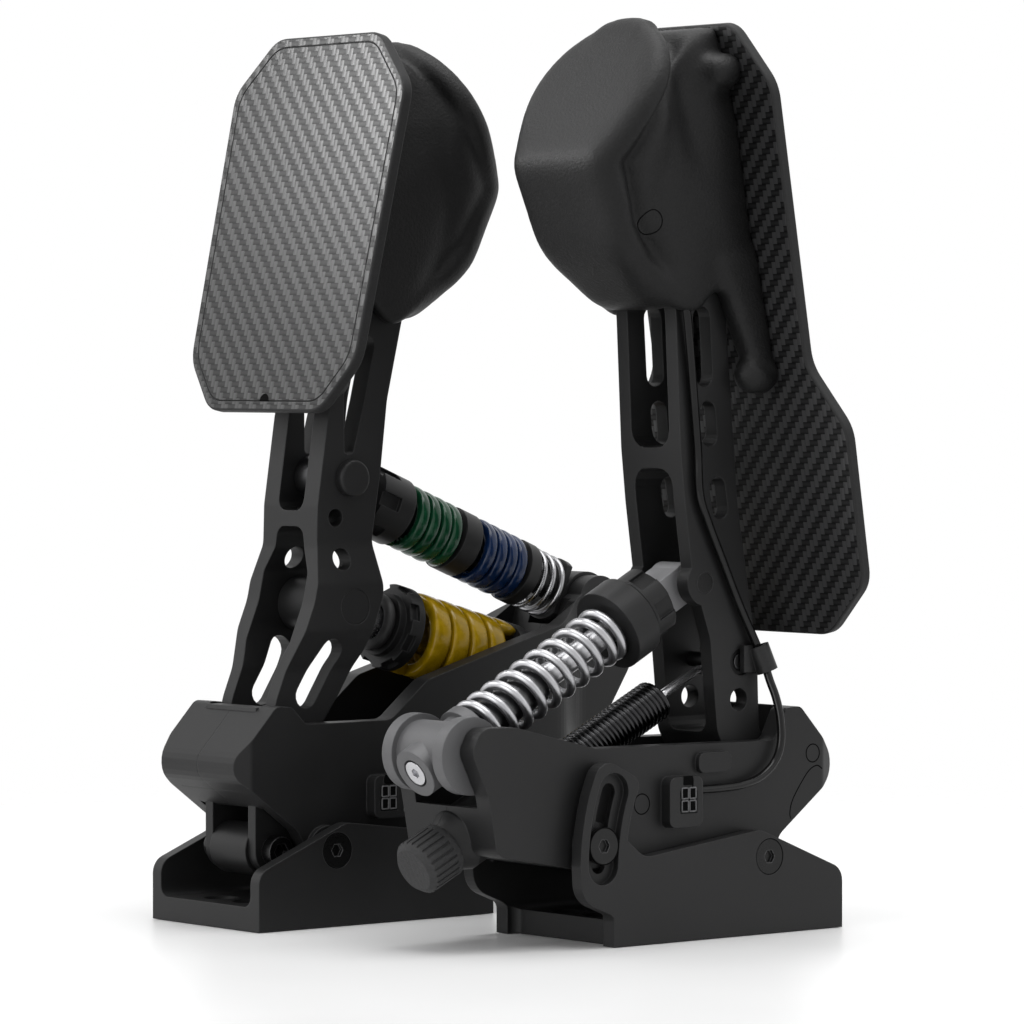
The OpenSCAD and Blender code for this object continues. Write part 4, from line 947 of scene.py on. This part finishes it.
def dress(material, *things):
    """Gives a material to nodes of the frame, by name, and to pieces."""
    for thing in things:
        mesh = nodes[thing].data if isinstance(thing, str) else thing.data
        mesh.materials.clear()
        mesh.materials.append(material)


# How closely a face must follow the plate's plane to show the weave
FLAT_LIMIT = 0.98


def dress_plate(plate, place, weave, edge):
    """Gives the weave to a plate's flat faces, and the other material to its edge and seam."""
    dress(weave, plate)
    plate.data.materials.append(edge)
    through = (place.to_3x3() @ Vector((1, 0, 0))).normalized()
    for polygon in plate.data.polygons:
        polygon.material_index = int(abs(polygon.normal.dot(through)) < FLAT_LIMIT)


# Light and floor


def add_area(name, at, target, size, power, spread=180.0):
    """Area lamp that points at a target and is not seen by the camera. Its spread is in degrees."""
    data = bpy.data.lights.new(name, "AREA")
    data.spread = math.radians(spread)
    data.shape = "RECTANGLE"
    data.size, data.size_y = size
    data.energy = power
    light = bpy.data.objects.new(name, data)
    scene.collection.objects.link(light)
    light.location = at
    light.rotation_mode = "QUATERNION"
    light.rotation_quaternion = (Vector(target) - Vector(at)).to_track_quat("-Z", "Y")
    light.visible_camera = False


FLOOR_HALF = 3.0
FLOOR_MIDDLE = (0.03, -0.05, -0.0002)
FLOOR_COLOR = (0.92, 0.92, 0.92)

# Distances from the middle between which the floor fades out
FADE_FROM = 0.3
FADE_TO = 0.62


def add_floor():
    """Pale floor round the object, which fades into the white background."""
    mesh = bpy.data.meshes.new("floor")
    builder = bmesh.new()
    bmesh.ops.create_grid(builder, x_segments=1, y_segments=1, size=FLOOR_HALF)
    builder.to_mesh(mesh)
    builder.free()
    floor = bpy.data.objects.new("floor", mesh)
    scene.collection.objects.link(floor)
    floor.location = FLOOR_MIDDLE
    look = Shader("floor_pale", FLOOR_COLOR, roughness=0.35)
    look.link(look.span(look.noise(8.0), 0.3, 0.7, 0.33, 0.38), "Roughness")
    distance = look.node("ShaderNodeVectorMath", {0: look.place}, operation="LENGTH").outputs["Value"]
    away = look.node("ShaderNodeMapRange", {"Value": distance}, interpolation_type="SMOOTHSTEP")
    away.inputs["From Min"].default_value = FADE_FROM
    away.inputs["From Max"].default_value = FADE_TO
    clear = look.node("ShaderNodeBsdfTransparent")
    mix = look.node("ShaderNodeMixShader", {0: away.outputs[0], 1: look.bsdf.outputs[0], 2: clear.outputs[0]})
    look.tree.links.new(mix.outputs[0], look.tree.nodes["Material Output"].inputs["Surface"])
    dress(look.material, floor)


FILL_LEVEL = 0.36


def add_world():
    """White background for the camera and in reflections, and a weaker even fill light."""
    world = bpy.data.worlds.new("studio")
    scene.world = world
    world.use_nodes = True
    tree = world.node_tree
    background = tree.nodes["Background"]
    path = tree.nodes.new("ShaderNodeLightPath")
    seen = path.outputs["Is Camera Ray"]
    for ray in ("Is Glossy Ray", "Is Transmission Ray"):
        either = tree.nodes.new("ShaderNodeMath")
        either.operation = "MAXIMUM"
        tree.links.new(seen, either.inputs[0])
        tree.links.new(path.outputs[ray], either.inputs[1])
        seen = either.outputs[0]
    level = tree.nodes.new("ShaderNodeMapRange")
    level.inputs["To Min"].default_value = FILL_LEVEL
    level.inputs["To Max"].default_value = 1.0
    tree.links.new(seen, level.inputs["Value"])
    tree.links.new(level.outputs[0], background.inputs["Strength"])
    background.inputs["Color"].default_value = (1.0, 1.0, 1.0, 1.0)
    scene.view_settings.view_transform = "Standard"


# Build

add_camera()
cable = add_cable()
springs = {row[0]: add_coil(*row) for row in COIL_SPRINGS}
helper = add_helper()
brake_pod = add_pod("brake_pod", BRAKE_PLATE, "brake_arm", relief=0.25)
throttle_pod = add_pod("throttle_pod", THROTTLE_PLATE, "throttle_arm", relief=1.0)
brake_plate = add_plate("brake_plate", BRAKE_PLATE, BRAKE_CORNERS, with_seam=True, body="brake_arm")
throttle_plate = add_plate(
    "throttle_plate", THROTTLE_PLATE, THROTTLE_CORNERS, with_seam=False, body="throttle_arm"
)
port_slots, port_rims = add_port()
# Black lines and patches painted as shade: in the gaps round bolt heads, flush marks, the cheek and the pod's
# plug, and in the connector cells, the port slots and the plate's notch
painted_shade_marks = [
    add_side_marks("brake_side_marks", brake_point, "brake_body", BOLT_RIMS),
    add_side_marks("throttle_side_marks", throttle_point, "throttle_body", BOLT_RIMS + FLUSH_MARKS),
    add_openings("brake_connector_openings", brake_point, "brake_body", BRAKE_SOCKET, -1),
    add_openings("throttle_connector_openings", throttle_point, "throttle_body", THROTTLE_SOCKET, 1),
    add_cheeks(),
    add_plate_notch(),
    add_pod_plug(throttle_pod),
    port_slots,
]
# Pale rims painted as highlights on the edges of the cells and slots
painted_highlight_rims = [
    add_rims("brake_connector_rims", brake_point, "brake_body", BRAKE_SOCKET, -1),
    add_rims("throttle_connector_rims", throttle_point, "throttle_body", THROTTLE_SOCKET, 1),
    port_rims,
]

dress(
    anodised("graphite_metal", dark=0.009, light=0.014, roughness=0.46),
    "brake_base", "throttle_base", "brake_body_left", "brake_body_right", "throttle_body_left",
    "throttle_body_right", "brake_arm", "throttle_arm", "upper_collar", "lower_collar", "damper_collar",
    "lower_seat", "upper_spacer_front", "upper_spacer_rear", "upper_tail", "upper_arm_pin", "brake_spacer",
    "lower_barrel",
)
# The bolt heads get strongly paler edges: mostly a painted highlight on their rims, with some rubbed wear
dress(
    anodised("black_bolts", dark=0.0025, light=0.005, roughness=0.3, edge_wear_and_highlight=0.8),
    "tilt_bolts", "brake_slot_bolts", "throttle_slot_bolts", "brake_spacer_bolt", "upper_tail_pin",
    "damper_pin",
)
# The block's paler edges are partly a painted edge highlight, partly rubbed wear
dress(anodised("grey_metal", dark=0.1, light=0.125, roughness=0.5, edge_wear_and_highlight=0.3), "trunnion_block")

dress(
    steel("dark_steel", level=0.11, roughness=0.3),
    "upper_rod_end", "trunnion_pins", "hook_pin", "damper_cylinder",
)
dress(steel("satin_steel", level=0.46, roughness=0.32), springs["damper_spring"], "damper_rod")
dress(steel("pale_satin_steel", level=0.5, roughness=0.42, metallic=0.45), "damper_fork")
dress(
    steel("bright_steel", level=0.6, roughness=0.22),
    "brake_bearings", "throttle_bearings", "brake_shaft", "throttle_shaft", "brake_load_cell", "brake_motor",
    "throttle_motor", "lower_rod", "trunnion_screw",
)
dress(steel("silver_wire", level=0.34, roughness=0.26), springs["silver_spring"])
dress(steel("black_wire", level=0.045, roughness=0.2), helper["helper_spring_wound"])
dress(steel("chrome", level=0.6, roughness=0.2, metallic=0.85), helper["helper_shank"])

brake_carbon = carbon("brake_carbon", BRAKE_PLATE, dark=0.0015, light=0.007, roughness=0.4, coat=0.25)
throttle_carbon = carbon("throttle_carbon", THROTTLE_PLATE, dark=0.0012, light=0.03, roughness=0.42, coat=0.1)
plate_edge = moulded("plate_edge", dark=0.008, light=0.014, roughness=0.66, grain_depth=0.00002)
dress_plate(brake_plate, BRAKE_PLATE, brake_carbon, plate_edge)
dress_plate(throttle_plate, THROTTLE_PLATE, throttle_carbon, plate_edge)

dress(
    moulded("pod_plastic", dark=0.003, light=0.007, roughness=0.52, grain_depth=0.00014, specular=0.24),
    brake_pod, throttle_pod,
)
dress(
    moulded("fine_plastic", dark=0.006, light=0.011, roughness=0.4, grain_depth=0.00003),
    "brake_connector", "throttle_connector", "cable_clip",
)
dress(moulded("knob_plastic", dark=0.02, light=0.042, roughness=0.6, grain_depth=0.00012), "preload_knob")
# Pale material for the rims that are painted highlights
dress(moulded("painted_rim_highlight", dark=0.09, light=0.15, roughness=0.45, grain_depth=0.00002), *painted_highlight_rims)

dress(rubber("stop_rubber", level=0.01, roughness=0.6), "brake_rest_stop", "lower_buffer")
# Near-black and almost unreflective, for the marks that are painted shade
dress(rubber("painted_shade_black", level=0.002, roughness=0.8, specular=0.03), *painted_shade_marks)
dress(rubber("plug_black", level=0.006, roughness=0.5), helper["helper_plug"])
dress(sheath("cable_sheath", level=0.003, roughness=0.13), *cable)
dress(paint("green_paint", (0.004, 0.06, 0.024)), springs["green_spring"])
dress(paint("blue_paint", (0.004, 0.02, 0.075)), springs["blue_spring"])
dress(paint("yellow_paint", (0.46, 0.285, 0.003)), springs["yellow_spring"])

add_floor()
add_world()
add_area("top_softbox", at=(0.1, -0.2, 1.6), target=(0.05, -0.05, 0.1), size=(1.5, 1.5), power=26.5)
add_area("left_softbox", at=(-1.0, 1.3, 0.75), target=(0.0, 0.0, 0.2), size=(1.5, 1.3), power=4.0)
add_area(
    "near_softbox",
    at=(-0.26, 0.2, 0.43),
    target=(-0.02, -0.045, 0.3),
    size=(0.14, 0.14),
    power=0.15,
    spread=60.0,
)
add_area("front_softbox", at=(-1.7, -0.3, 0.55), target=(0.0, 0.0, 0.15), size=(1.0, 1.0), power=9.0)
add_area("right_softbox", at=(0.9, -1.6, 0.8), target=(0.0, -0.05, 0.15), size=(0.9, 1.2), power=2.0)
